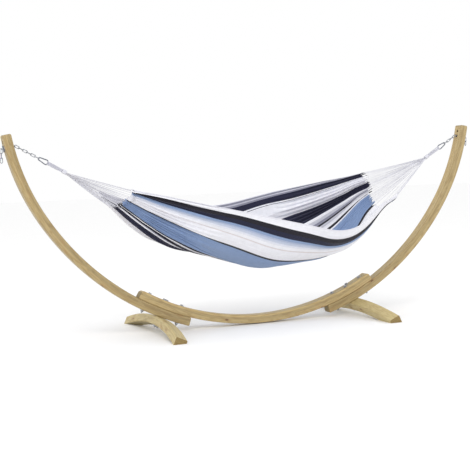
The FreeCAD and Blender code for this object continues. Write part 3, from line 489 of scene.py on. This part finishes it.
def make_cord_material(name, bright, shade):
    """Twisted cotton; UV runs round and along a cord."""
    shader = Shader(name)
    around, along, _ = shader.axes(shader.node("UVMap", uv_map="flat").outputs[0])
    turns = shader.total(shader.math("MULTIPLY", around, PLIES),
                         shader.math("MULTIPLY", along, TWISTS_PER_METRE))
    ply = shader.math("ABSOLUTE", shader.math("SINE", shader.math("MULTIPLY", turns, math.pi)))
    fuzz = shader.noise(shader.place.outputs["Object"], CORD_FUZZ_PER_METRE, detail=3.0)
    hollow = shader.ease(ply, 0.45, 0.0)
    colour = shader.blend(shader.math("MULTIPLY", hollow, 0.65), bright, shade)
    stain = shader.noise(shader.place.outputs["Object"], STAINS_PER_METRE)
    colour = shader.toned(colour, shader.spread(stain, 0.3, 0.7, 0.93, 1.03))
    height = shader.total(ply, shader.math("MULTIPLY", fuzz, 0.5))
    rough = shader.spread(fuzz, 0.0, 1.0, 0.8, 0.98)
    return shader.finish(Base_Color=colour, Roughness=rough, Sheen_Weight=0.3, Sheen_Roughness=0.6,
                         Normal=shader.bump(height, 0.0003, 0.7))


def make_hem_material():
    """White hem band; UV runs along it and round its fold. Two rows of stitches hold it down."""
    shader = Shader("hem_cotton")
    along, around, _ = shader.axes(shader.node("UVMap", uv_map="flat").outputs[0])
    thread = shader.ease(shader.off_middle(shader.math("DIVIDE", along, STITCH)), 0.38, 0.30)
    turn = shader.math("FRACT", shader.math("MULTIPLY", around, STITCH_ROWS / HEM_TURN))
    from_row = shader.math("ABSOLUTE", shader.math("SUBTRACT", turn, 0.25))
    stitch = shader.math("MULTIPLY", thread, shader.ease(from_row, 0.09, 0.05))
    yarns = shader.math("SINE", shader.math("MULTIPLY", along, 2 * math.pi / YARN))
    fluff = shader.noise(shader.place.outputs["Object"], HEM_FUZZ_PER_METRE, detail=3.0)
    colour = shader.blend(fluff, rgb(206, 206, 216), rgb(240, 240, 246))
    colour = shader.blend(shader.math("MULTIPLY", stitch, 0.6), colour, rgb(150, 150, 166))
    height = shader.total(shader.math("MULTIPLY", yarns, 0.4), fluff,
                          shader.math("MULTIPLY", stitch, -1.5))
    rough = shader.spread(fluff, 0.0, 1.0, 0.8, 0.97)
    return shader.finish(Base_Color=colour, Roughness=rough, Sheen_Weight=0.1, Sheen_Roughness=0.5,
                         Normal=shader.bump(height, 0.0004, 0.6))


BEAM_WOOD = make_wood("laminated_beam", beam_coordinates, BEAM_LAMELLAS, 0.31,
                      rgb(187, 167, 123), rgb(166, 144, 97), rgb(138, 111, 64), rgb(138, 120, 70))
FOOT_WOOD = make_wood("laminated_foot", foot_coordinates, FOOT_LAMELLAS, 0.37,
                      rgb(186, 172, 128), rgb(166, 149, 103), rgb(142, 119, 73), rgb(140, 118, 66))
BOLT_STEEL = make_metal("zinc_bolts", rgb(205, 207, 212), rgb(128, 130, 136), 420.0)
CHAIN_STEEL = make_metal("zinc_chain", rgb(196, 199, 206), rgb(104, 108, 116), 520.0)
HOOK_STEEL = make_metal("dull_hooks", rgb(150, 154, 164), rgb(84, 88, 98), 360.0)
STRIPED_COTTON = make_cloth_material()
CORD_COTTON = make_cord_material("twisted_cotton", rgb(218, 218, 226), rgb(146, 146, 158))
EYE_COTTON = make_cord_material("eye_cotton", rgb(202, 202, 212), rgb(122, 122, 134))
HEM_COTTON = make_hem_material()

SLOT_MATERIALS = {
    "beam_wood": BEAM_WOOD,
    "foot_wood": FOOT_WOOD,
    "bolt_steel": BOLT_STEEL,
    "chain_steel": CHAIN_STEEL,
    "hook_steel": HOOK_STEEL,
}


def paint_cad_nodes():
    for part in frame["record"]["subparts"]:
        material = SLOT_MATERIALS.get(part["material_slot"])
        if material:
            mesh = frame["nodes"][part["node"]].data
            mesh.materials.clear()
            mesh.materials.append(material)


# ---------------------------------------------------------------- the cloth's shape

def bed_profile(station):
    """Bottom, front reach and height, rear reach and height of the CAD bed at a place along X."""
    cut = bmesh.new()
    cut.from_mesh(frame["nodes"]["fabric_bed"].data)
    parts = cut.verts[:] + cut.edges[:] + cut.faces[:]
    kept = bmesh.ops.bisect_plane(cut, geom=parts, plane_co=(station, 0, 0), plane_no=(1, 0, 0))
    ring = [part.co.copy() for part in kept["geom_cut"] if isinstance(part, bmesh.types.BMVert)]
    cut.free()
    front = min(ring, key=lambda point: point.y)
    rear = max(ring, key=lambda point: point.y)
    bottom = min(point.z for point in ring)
    return bottom, -front.y, front.z, rear.y, rear.z


def smooth(values, passes):
    """Repeated three-point averages along the first axis, with the ends held."""
    result = np.array(values, float)
    for _ in range(passes):
        result[1:-1] = (result[:-2] + 2 * result[1:-1] + result[2:]) / 4
    return result


# How the flat cloth is shared out over the bowl, because the sleeper lies at a slant: at each
# station along X, where these lines of the flat cloth lie, as shares of the way from the front
# edge to the rear edge, in thousandths.
FLAT_LINES = (0, 60, 120, 190, 345, 640, 790, 980, 1180, 1245, 1300)
CLOTH_LIES = {
    -0.93: (0, 3, 30, 75, 150, 260, 365, 480, 810, 900, 1000),
    -0.80: (0, 8, 45, 90, 145, 250, 320, 420, 830, 910, 1000),
    -0.68: (0, 10, 50, 105, 160, 295, 365, 490, 850, 920, 1000),
    -0.60: (0, 15, 55, 110, 180, 310, 425, 540, 860, 925, 1000),
    -0.40: (0, 20, 70, 130, 230, 440, 530, 620, 890, 940, 1000),
    -0.10: (0, 30, 85, 155, 260, 500, 620, 740, 925, 960, 1000),
    0.20: (0, 45, 105, 170, 290, 545, 680, 810, 940, 965, 1000),
    0.45: (0, 75, 135, 185, 325, 585, 760, 845, 940, 970, 1000),
    0.70: (0, 90, 150, 220, 420, 640, 805, 860, 950, 985, 1000),
    0.88: (0, 40, 80, 125, 485, 680, 785, 850, 955, 990, 1000),
}
LENGTHWISE_PASSES = 40            # of smoothing
CROSSWISE_PASSES = 5


def lie_shares(stations):
    """Share of the way across the bowl of each column of the cloth, for each row."""
    columns = np.linspace(0, FLAT_LINES[-1], CLOTH_COLUMNS)
    known = sorted(CLOTH_LIES)
    lines = np.array([CLOTH_LIES[station] for station in known], float) / 1000
    along = np.column_stack([np.interp(stations, known, lines[:, n]) for n in range(lines.shape[1])])
    along = smooth(along, LENGTHWISE_PASSES)
    shares = np.array([np.interp(columns, FLAT_LINES, row) for row in along])
    return smooth(shares.T, CROSSWISE_PASSES).T


def pleat_depth(gather, wavelength):
    """Half height of the waves that take up a gather, the cut length over the space it has."""
    slope = 2 * np.sqrt(gather - 1) * (1 + 0.15 * (gather - 1))
    return slope * wavelength / (2 * math.pi)


def pleat_phases():
    """Phase of the pleats at each column, a little uneven; cords pull at its odd half turns."""
    flat = np.linspace(0, 1, CLOTH_COLUMNS)
    rng = np.random.default_rng(PLEAT_SEED)
    unevenness = smooth(rng.normal(0, 1, (CLOTH_COLUMNS, 1)), PLEAT_PASSES)[:, 0]
    unevenness *= 1 / np.abs(unevenness).max()
    return 2 * math.pi * PLEATS * flat + UNEVEN_PLEATS * unevenness * np.sin(math.pi * flat)


def pull_to_knots(points):
    """Draw each end's tongues out towards the knot that its cords run to, some more than others."""
    rng = np.random.default_rng(TONGUE_SEED)
    phase = pleat_phases()
    turns = phase / (2 * math.pi)
    uneven = np.interp(turns, np.arange(PLEATS) + 0.5, rng.uniform(0.5, 1.4, PLEATS))
    tongue = TONGUE_DEPTH * uneven * (0.5 - 0.5 * np.cos(phase))
    flat = np.linspace(0, 1, CLOTH_COLUMNS)
    for side, rows in (("left", range(PULL_ROWS)), ("right", range(-1, -PULL_ROWS - 1, -1))):
        knot = np.array(binding(side)[1])
        away = knot - points[rows[0]]
        away /= np.linalg.norm(away, axis=1)[:, None]
        shares, pulls = zip(*END_PULLS[side])
        whole = np.interp(flat, shares, pulls)
        for number, row in enumerate(rows):
            far = number / PULL_ROWS
            pull = whole * (1 - far) ** 2 + tongue * (1 - far) ** 6
            points[row] += away * pull[:, None]
    return points


def make_cloth_points():
    """Points of the gathered cloth, row by row from left to right."""
    low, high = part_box("fabric_bed")
    stations = np.linspace(low.x, high.x, CLOTH_ROWS)
    coarse = np.linspace(low.x + BED_INSET, high.x - BED_INSET, BED_CUTS)
    profiles = np.array([bed_profile(station) for station in coarse])
    profiles = np.column_stack([np.interp(stations, coarse, profiles[:, n]) for n in range(5)])
    profiles = smooth(profiles, BOWL_PASSES)
    shares = lie_shares(stations)
    columns = np.linspace(0, CLOTH_WIDTH, CLOTH_COLUMNS)
    phase = pleat_phases()
    points = np.empty((CLOTH_ROWS, CLOTH_COLUMNS, 3))
    for row, (bottom, front_reach, front_top, rear_reach, rear_top) in enumerate(profiles):
        arcs = []
        for reach, top in ((front_reach, front_top), (rear_reach, rear_top)):
            rise = top - bottom
            radius = (reach ** 2 + rise ** 2) / (2 * rise)
            arcs.append((radius, math.atan2(reach, radius - rise)))
        (front_radius, front_turn), (rear_radius, rear_turn) = arcs
        front_run, rear_run = front_radius * front_turn, rear_radius * rear_turn
        run = shares[row] * (front_run + rear_run) - front_run
        radius = np.where(run < 0, front_radius, rear_radius)
        gather = np.gradient(columns) / np.maximum(np.gradient(run), 1e-6)
        to_end = min(stations[row] - low.x, high.x - stations[row])
        fine = max(1 - to_end / PLEAT_REACH, 0) ** PLEAT_FADE
        gather = 1 + (np.clip(gather, LEAST_GATHER, MOST_GATHER) - 1) * fine
        wave = pleat_depth(gather, CLOTH_WIDTH / PLEATS / gather) * np.sin(phase)
        broad = math.sin(math.pi * min(to_end / FOLD_REACH, 1)) * FOLD_DEPTH
        broad_phase = phase / PLEATS_TO_FOLD + FOLD_SLANT * stations[row]
        wave += broad * np.sin(broad_phase) * np.sin(math.pi * columns / CLOTH_WIDTH)
        inside = radius - CAD_CLOTH_MIDDLE - wave
        points[row, :, 0] = stations[row]
        points[row, :, 1] = inside * np.sin(run / radius)
        points[row, :, 2] = bottom + radius - inside * np.cos(run / radius)
    return pull_to_knots(points)


def grid_mesh(name, points, flat_width, flat_length):
    """A sheet from rows of points, with a UV map of the flat cloth in metres."""
    rows, columns = points.shape[:2]
    mesh = bpy.data.meshes.new(name)
    index = np.arange(rows * columns).reshape(rows, columns)
    quads = np.stack([index[:-1, :-1], index[1:, :-1], index[1:, 1:], index[:-1, 1:]], axis=-1)
    mesh.from_pydata(points.reshape(-1, 3).tolist(), [], quads.reshape(-1, 4).tolist())
    across = np.tile(np.linspace(0, flat_width, columns), rows)
    along = np.repeat(np.linspace(0, flat_length, rows), columns)
    corner = np.empty(len(mesh.loops), int)
    mesh.loops.foreach_get("vertex_index", corner)
    layer = mesh.uv_layers.new(name="flat")
    layer.data.foreach_set("uv", np.column_stack([across[corner], along[corner]]).ravel())
    mesh.polygons.foreach_set("use_smooth", [True] * len(mesh.polygons))
    return mesh


def hold_weights(rows, columns):
    """How firmly each point is held: fully where the cords pull, and loosely in the middle."""
    along = np.linspace(0, 1, rows)[:, None]
    across = np.linspace(0, 1, columns)[None, :]
    to_end = np.minimum(along, 1 - along) * CLOTH_LENGTH
    to_side = np.minimum(across, 1 - across) * CLOTH_WIDTH
    ends = np.clip(1 - to_end / HELD_END, 0, 1)
    sides = HOLD_SIDE * np.clip(1 - to_side / HELD_SIDE, 0, 1)
    return np.maximum(np.maximum(ends, sides), HOLD_MIDDLE)


def settle(points):
    """Cloth simulation of the cut cloth, a little wider than its bowl, that gives it its creases."""
    rows, columns = points.shape[:2]
    mesh = grid_mesh("settling", points, CLOTH_WIDTH, CLOTH_LENGTH)
    sheet = bpy.data.objects.new("settling", mesh)
    bpy.context.scene.collection.objects.link(sheet)
    held = sheet.vertex_groups.new(name="held")
    weights = np.round(hold_weights(rows, columns).ravel(), 2)
    for weight in np.unique(weights):
        held.add(np.flatnonzero(weights == weight).tolist(), float(weight), "REPLACE")
    sheet.shape_key_add(name="Basis")
    cut = sheet.shape_key_add(name="cut")
    wider = points * np.array([1.0, SPARE_WIDTH, 1.0])
    cut.data.foreach_set("co", wider.ravel())
    modifier = sheet.modifiers.new("settle", "CLOTH")
    settings = modifier.settings
    settings.quality = 5
    settings.mass = 0.02
    settings.tension_stiffness = 20
    settings.compression_stiffness = 20
    settings.shear_stiffness = 3
    settings.bending_stiffness = 0.05
    settings.vertex_group_mass = "held"
    settings.rest_shape_key = cut
    modifier.point_cache.frame_end = SETTLE_FRAMES
    scene = bpy.context.scene
    for number in range(1, SETTLE_FRAMES + 1):
        scene.frame_set(number)
    settled = sheet.evaluated_get(bpy.context.evaluated_depsgraph_get()).data
    flat = np.empty(rows * columns * 3)
    settled.vertices.foreach_get("co", flat)
    scene.frame_set(1)
    bpy.data.objects.remove(sheet)
    moved = flat.reshape(points.shape) - points
    distance = np.linalg.norm(moved, axis=2, keepdims=True)
    return points + moved * np.minimum(1, MOST_SETTLING / np.maximum(distance, 1e-9))


def add_piece(name, mesh, material, body):
    piece = bpy.data.objects.new(name, mesh)
    bpy.context.scene.collection.objects.link(piece)
    mesh.materials.append(material)
    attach(piece, body)
    return piece


def make_cloth(points):
    mesh = grid_mesh("striped_cloth", points, CLOTH_WIDTH, CLOTH_LENGTH)
    cloth = add_piece("striped_cloth", mesh, STRIPED_COTTON, "hammock")
    finer = cloth.modifiers.new("finer", "SUBSURF")
    finer.levels = finer.render_levels = 1
    body = cloth.modifiers.new("thickness", "SOLIDIFY")
    body.thickness = CLOTH_THICKNESS
    body.offset = 0
    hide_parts("fabric_bed")
    return cloth


# ---------------------------------------------------------------- hems

# Section of a hem folded over the cloth's edge: distance in from the edge, and off the cloth.
HEM_FOLD = [(0.0055, 1.0), (0.002, 1.15), (-0.0008, 0.8), (-0.0018, 0.0), (-0.0008, -0.8),
            (0.002, -1.15), (0.0055, -1.0), (0.0055, -0.4), (0.0012, -0.4), (0.0004, 0.0),
            (0.0012, 0.4), (0.0055, 0.4)]


def hem_piece(name, edge, inner, half_thickness, material, slot, replaced):
    """A hem folded over an edge of the cloth, given the edge's points and the next ones in.

    UV runs along the edge, from one corner of the flat cloth to the other, and round the hem."""
    heading = np.gradient(edge, axis=0)
    inward = smooth(inner - edge, 2)
    inward -= heading * ((inward * heading).sum(1) / (heading ** 2).sum(1))[:, None]
    inward /= np.linalg.norm(inward, axis=1)[:, None]
    normal = np.cross(heading, inward)
    normal /= np.linalg.norm(normal, axis=1)[:, None]
    build = bmesh.new()
    uv_layer = build.loops.layers.uv.new("flat")
    length = CLOTH_WIDTH if slot == "striped_cloth" else CLOTH_LENGTH
    distance = np.linspace(0, length, len(edge))
    rings = []
    for point, into, off in zip(edge, inward, normal):
        rings.append([build.verts.new(point + into * depth + off * level * half_thickness)
                      for depth, level in HEM_FOLD])
    sides = len(HEM_FOLD)
    for number in range(len(rings) - 1):
        for step in range(sides):
            follow = (step + 1) % sides
            face = build.faces.new((rings[number][step], rings[number + 1][step],
                                    rings[number + 1][follow], rings[number][follow]))
            face.smooth = True
            corners = ((step, number), (step, number + 1), (follow, number + 1), (follow, number))
            for loop, (place, along) in zip(face.loops, corners):
                loop[uv_layer].uv = (distance[along], HEM_TURN * place / sides)
    build.faces.new(rings[0])
    build.faces.new(reversed(rings[-1]))
    bmesh.ops.recalc_face_normals(build, faces=build.faces)
    mesh = bpy.data.meshes.new(name)
    build.to_mesh(mesh)
    build.free()
    hem = add_piece(name, mesh, material, "hammock")
    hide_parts(replaced)
    return hem


def make_hems(points):
    return [
        hem_piece("front_rolled_hem", points[:, 0], points[:, 1], SIDE_HEM, HEM_COTTON,
                  "hem_cloth", "front_hem"),
        hem_piece("rear_rolled_hem", points[:, -1], points[:, -2], SIDE_HEM, HEM_COTTON,
                  "hem_cloth", "rear_hem"),
        hem_piece("left_rolled_hem", points[0], points[1], END_HEM, STRIPED_COTTON,
                  "striped_cloth", "left_end_hem"),
        hem_piece("right_rolled_hem", points[-1], points[-2], END_HEM, STRIPED_COTTON,
                  "striped_cloth", "right_end_hem"),
    ]


# ---------------------------------------------------------------- cords

def tube(build, uv_layer, path, radii, sides):
    """A tube along a path, closed at both ends, with a radius at each point."""
    path = [Vector(point) for point in path]
    normal = Vector((0, 0, 1))
    distance = 0.0
    rings = []
    places = []
    for number, (point, radius) in enumerate(zip(path, radii)):
        before = path[max(number - 1, 0)]
        after = path[min(number + 1, len(path) - 1)]
        heading = (after - before).normalized()
        normal = (normal - heading * normal.dot(heading)).normalized()
        side = heading.cross(normal)
        distance += (point - before).length
        places.append(distance)
        ring = []
        for step in range(sides):
            angle = 2 * math.pi * step / sides
            offset = normal * math.cos(angle) + side * math.sin(angle)
            ring.append(build.verts.new(point + offset * radius))
        rings.append(ring)
    for number in range(len(rings) - 1):
        for step in range(sides):
            follow = (step + 1) % sides
            face = build.faces.new((rings[number][step], rings[number][follow],
                                    rings[number + 1][follow], rings[number + 1][step]))
            face.smooth = True
            corners = ((step, number), (step + 1, number), (step + 1, number + 1), (step, number + 1))
            for loop, (around, along) in zip(face.loops, corners):
                loop[uv_layer].uv = (around / sides, places[along])
    build.faces.new(reversed(rings[0]))
    build.faces.new(rings[-1])


def tubes_piece(name, tubes, sides, material, replaced):
    """One piece of several cords, each a path and a radius or the radii along it."""
    build = bmesh.new()
    uv_layer = build.loops.layers.uv.new("flat")
    for path, radius in tubes:
        radii = radius if isinstance(radius, list) else [radius] * len(path)
        tube(build, uv_layer, path, radii, sides)
    mesh = bpy.data.meshes.new(name)
    build.to_mesh(mesh)
    build.free()
    piece = add_piece(name, mesh, material, "hammock")
    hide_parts(replaced)
    return piece


def binding(side):
    """Centres of the whipping's two ends, first the hook's and then the cloth's."""
    points = points_of(f"{side}_whipping")
    outer = points[:, 0] * outward_sign(side) > (points[:, 0] * outward_sign(side)).mean()
    return Vector(points[outer].mean(axis=0)), Vector(points[~outer].mean(axis=0))


def upward_of(line):
    """The direction square to a line that points most nearly up, in the plane Y = 0."""
    up = line.cross(REARWARD)
    return up if up.z > 0 else -up


def fan_loops(side, end_row, next_row):
    """Loops of cord from the whipping, through the hem at each pleat and back."""
    near, far = binding(side)
    line = (far - near).normalized()
    up = upward_of(line)
    rng = random.Random(FAN_SEEDS[side])
    phase = pleat_phases()
    loops = []
    for pleat in range(PLEATS):
        column = int(np.argmin(np.abs(phase - 2 * math.pi * (pleat + 0.5))))
        edge = Vector(end_row[column])
        inward = (Vector(next_row[column]) - edge).normalized()
        across = Vector(end_row[min(column + 1, CLOTH_COLUMNS - 1)] - end_row[max(column - 1, 0)])
        off = across.cross(inward).normalized()
        share = 2 * (pleat + 0.5) / PLEATS - 1
        legs = []
        for half in (-1, 1):
            angle = (share + LEG_SPLAY * half) * KNOT_SPREAD
            ring = KNOT_RADIUS * (1.0 if pleat % 2 else INNER_RING)
            ring *= 1.0 if half > 0 else FIRST_LEG_RING
            start = far - line * FAN_START
            start += REARWARD * ring * math.sin(angle) - up * ring * math.cos(angle)
            finish = edge + off * half * FAN_GAP
            sag = Vector((0, rng.uniform(-SIDE_SAG, SIDE_SAG), -rng.uniform(LEAST_SAG, MOST_SAG)))
            steps = [step / FAN_STEPS for step in range(FAN_STEPS + 1)]
            legs.append([start.lerp(finish, step) + sag * 4 * step * (1 - step) for step in steps])
        turn = [edge + inward * 0.004 + off * level for level in (-0.002, 0.0, 0.002)]
        loops.append((legs[0] + turn + legs[1][::-1], CORD_RADIUS))
    return loops


def eye_loops(side):
    """Strands that loop round the snap hook's wide bow and run into the whipping."""
    near, far = binding(side)
    line = (far - near).normalized()
    up = upward_of(line)
    bow = near + line * (reach_along(f"{side}_snap_hook", line)[1] - HOOK_WIRE / 2 - near.dot(line))
    loops = []
    turn_radius = HOOK_WIRE / 2 + EYE_STRAND * 1.15
    for number in range(EYE_LOOPS):
        offset = (number - (EYE_LOOPS - 1) / 2) * EYE_SPACING
        centre = bow + up * offset - line * (HOOK_BOW - math.sqrt(HOOK_BOW ** 2 - offset ** 2))
        # Each leg: a place along the way, its share of the strand's offset, and how far it stands
        # from the plane Y = 0
        stops = ((near + line * 0.004, 0.8, 0.0042), (near - line * 0.004, 0.82, 0.0046),
                 (near.lerp(centre, 0.5), 0.5, 0.0062))
        rear, front = ([place + up * offset * share + REARWARD * reach * sign
                        for place, share, reach in stops] for sign in (1, -1))
        turn = []
        for step in range(EYE_TURN_STEPS + 1):
            angle = math.pi * (0.5 + step / EYE_TURN_STEPS)
            radial = line * math.cos(angle) + REARWARD * math.sin(angle)
            turn.append(centre + radial * turn_radius)
        loops.append((rear + turn + front[::-1], EYE_STRAND))
    return loops


def whipping_turns(side):
    """The cords' bound core and the thin cord wound tightly round it."""
    near, far = binding(side)
    line = (far - near).normalized()
    up = upward_of(line)
    length = (far - near).length
    core = []
    core_radii = []
    for step in range(CORE_STEPS + 1):
        core.append(near + line * length * step / CORE_STEPS)
        from_middle = abs(2 * step / CORE_STEPS - 1)
        core_radii.append(WHIPPING_CORE * (1 - CORE_TAPER * from_middle ** 6))
    coil = []
    steps = WHIPPING_TURNS * WHIPPING_STEPS
    for step in range(steps + 1):
        angle = 2 * math.pi * step / WHIPPING_STEPS
        level = WHIPPING_CORD + (length - 2 * WHIPPING_CORD) * step / steps
        radial = REARWARD * math.cos(angle) + up * math.sin(angle)
        coil.append(near + line * level + radial * (WHIPPING_CORE + 0.6 * WHIPPING_CORD))
    return [(core, core_radii), (coil, WHIPPING_CORD)]


def make_cords(points):
    """Both ends' cords; gives the two fans."""
    fans = []
    for side, end_row, next_row in (("left", points[0], points[2]), ("right", points[-1], points[-3])):
        loops = fan_loops(side, end_row, next_row)
        fans.append(tubes_piece(f"{side}_cord_fan", loops, 6, CORD_COTTON, f"{side}_end_cords"))
        tubes_piece(f"{side}_eye", eye_loops(side), 8, EYE_COTTON, f"{side}_eye_cords")
        tubes_piece(f"{side}_binding", whipping_turns(side), 12, CORD_COTTON, f"{side}_whipping")
    return fans


# ---------------------------------------------------------------- floor, light and camera

FLOOR_SIZE = 60


def make_floor():
    bpy.ops.mesh.primitive_plane_add(size=FLOOR_SIZE)
    floor = bpy.context.object
    floor.name = "floor"
    shader = Shader("pale_floor")
    grain = shader.noise(shader.place.outputs["Object"], 3.0, detail=3.0)
    colour = shader.blend(grain, rgb(250, 250, 250), rgb(253, 253, 253))
    floor.data.materials.append(shader.finish(Base_Color=colour, Roughness=0.9))


LIGHT_TARGET = Vector((0, 0, 0.6))


def make_light(name, place, size, power):
    data = bpy.data.lights.new(name, "AREA")
    data.size = size
    data.energy = power
    light = bpy.data.objects.new(name, data)
    light.location = place
    light.rotation_euler = (LIGHT_TARGET - Vector(place)).to_track_quat("-Z", "Y").to_euler()
    bpy.context.scene.collection.objects.link(light)


def make_lights():
    world = bpy.data.worlds.new("studio")
    bpy.context.scene.world = world
    world.use_nodes = True
    sky = world.node_tree.nodes["Background"]
    sky.inputs["Color"].default_value = (1.0, 1.0, 1.0, 1.0)
    sky.inputs["Strength"].default_value = 1.0
    make_light("key", (-4.2, -6.7, 7.2), 4.8, 282)
    make_light("fill", (3.8, -3.0, 2.6), 3.0, 20)


CAMERA_PLACE = Vector((-2.705, -6.229, 1.021))
CAMERA_YAW = math.radians(22.29)
CAMERA_DOWN = math.radians(3.77)
CAMERA_ROLL = math.radians(-1.91)
CAMERA_LENS = 81.15


def make_camera():
    data = bpy.data.cameras.new("camera")
    data.lens = CAMERA_LENS
    data.sensor_width = 36
    data.clip_end = 100
    camera = bpy.data.objects.new("camera", data)
    heading = Matrix.Rotation(-CAMERA_YAW, 4, "Z") @ Matrix.Rotation(math.pi / 2 - CAMERA_DOWN, 4, "X")
    roll = Matrix.Rotation(CAMERA_ROLL, 4, "Z")
    camera.matrix_world = Matrix.Translation(CAMERA_PLACE) @ heading @ roll
    bpy.context.scene.collection.objects.link(camera)
    bpy.context.scene.camera = camera


# ---------------------------------------------------------------- assembly

paint_cad_nodes()
cloth_points = make_cloth_points()
cloth_points = settle(cloth_points)
cloth = make_cloth(cloth_points)
hems = make_hems(cloth_points)
fans = make_cords(cloth_points)
make_floor()
make_lights()
make_camera()
bpy.context.scene.view_settings.view_transform = "Standard"
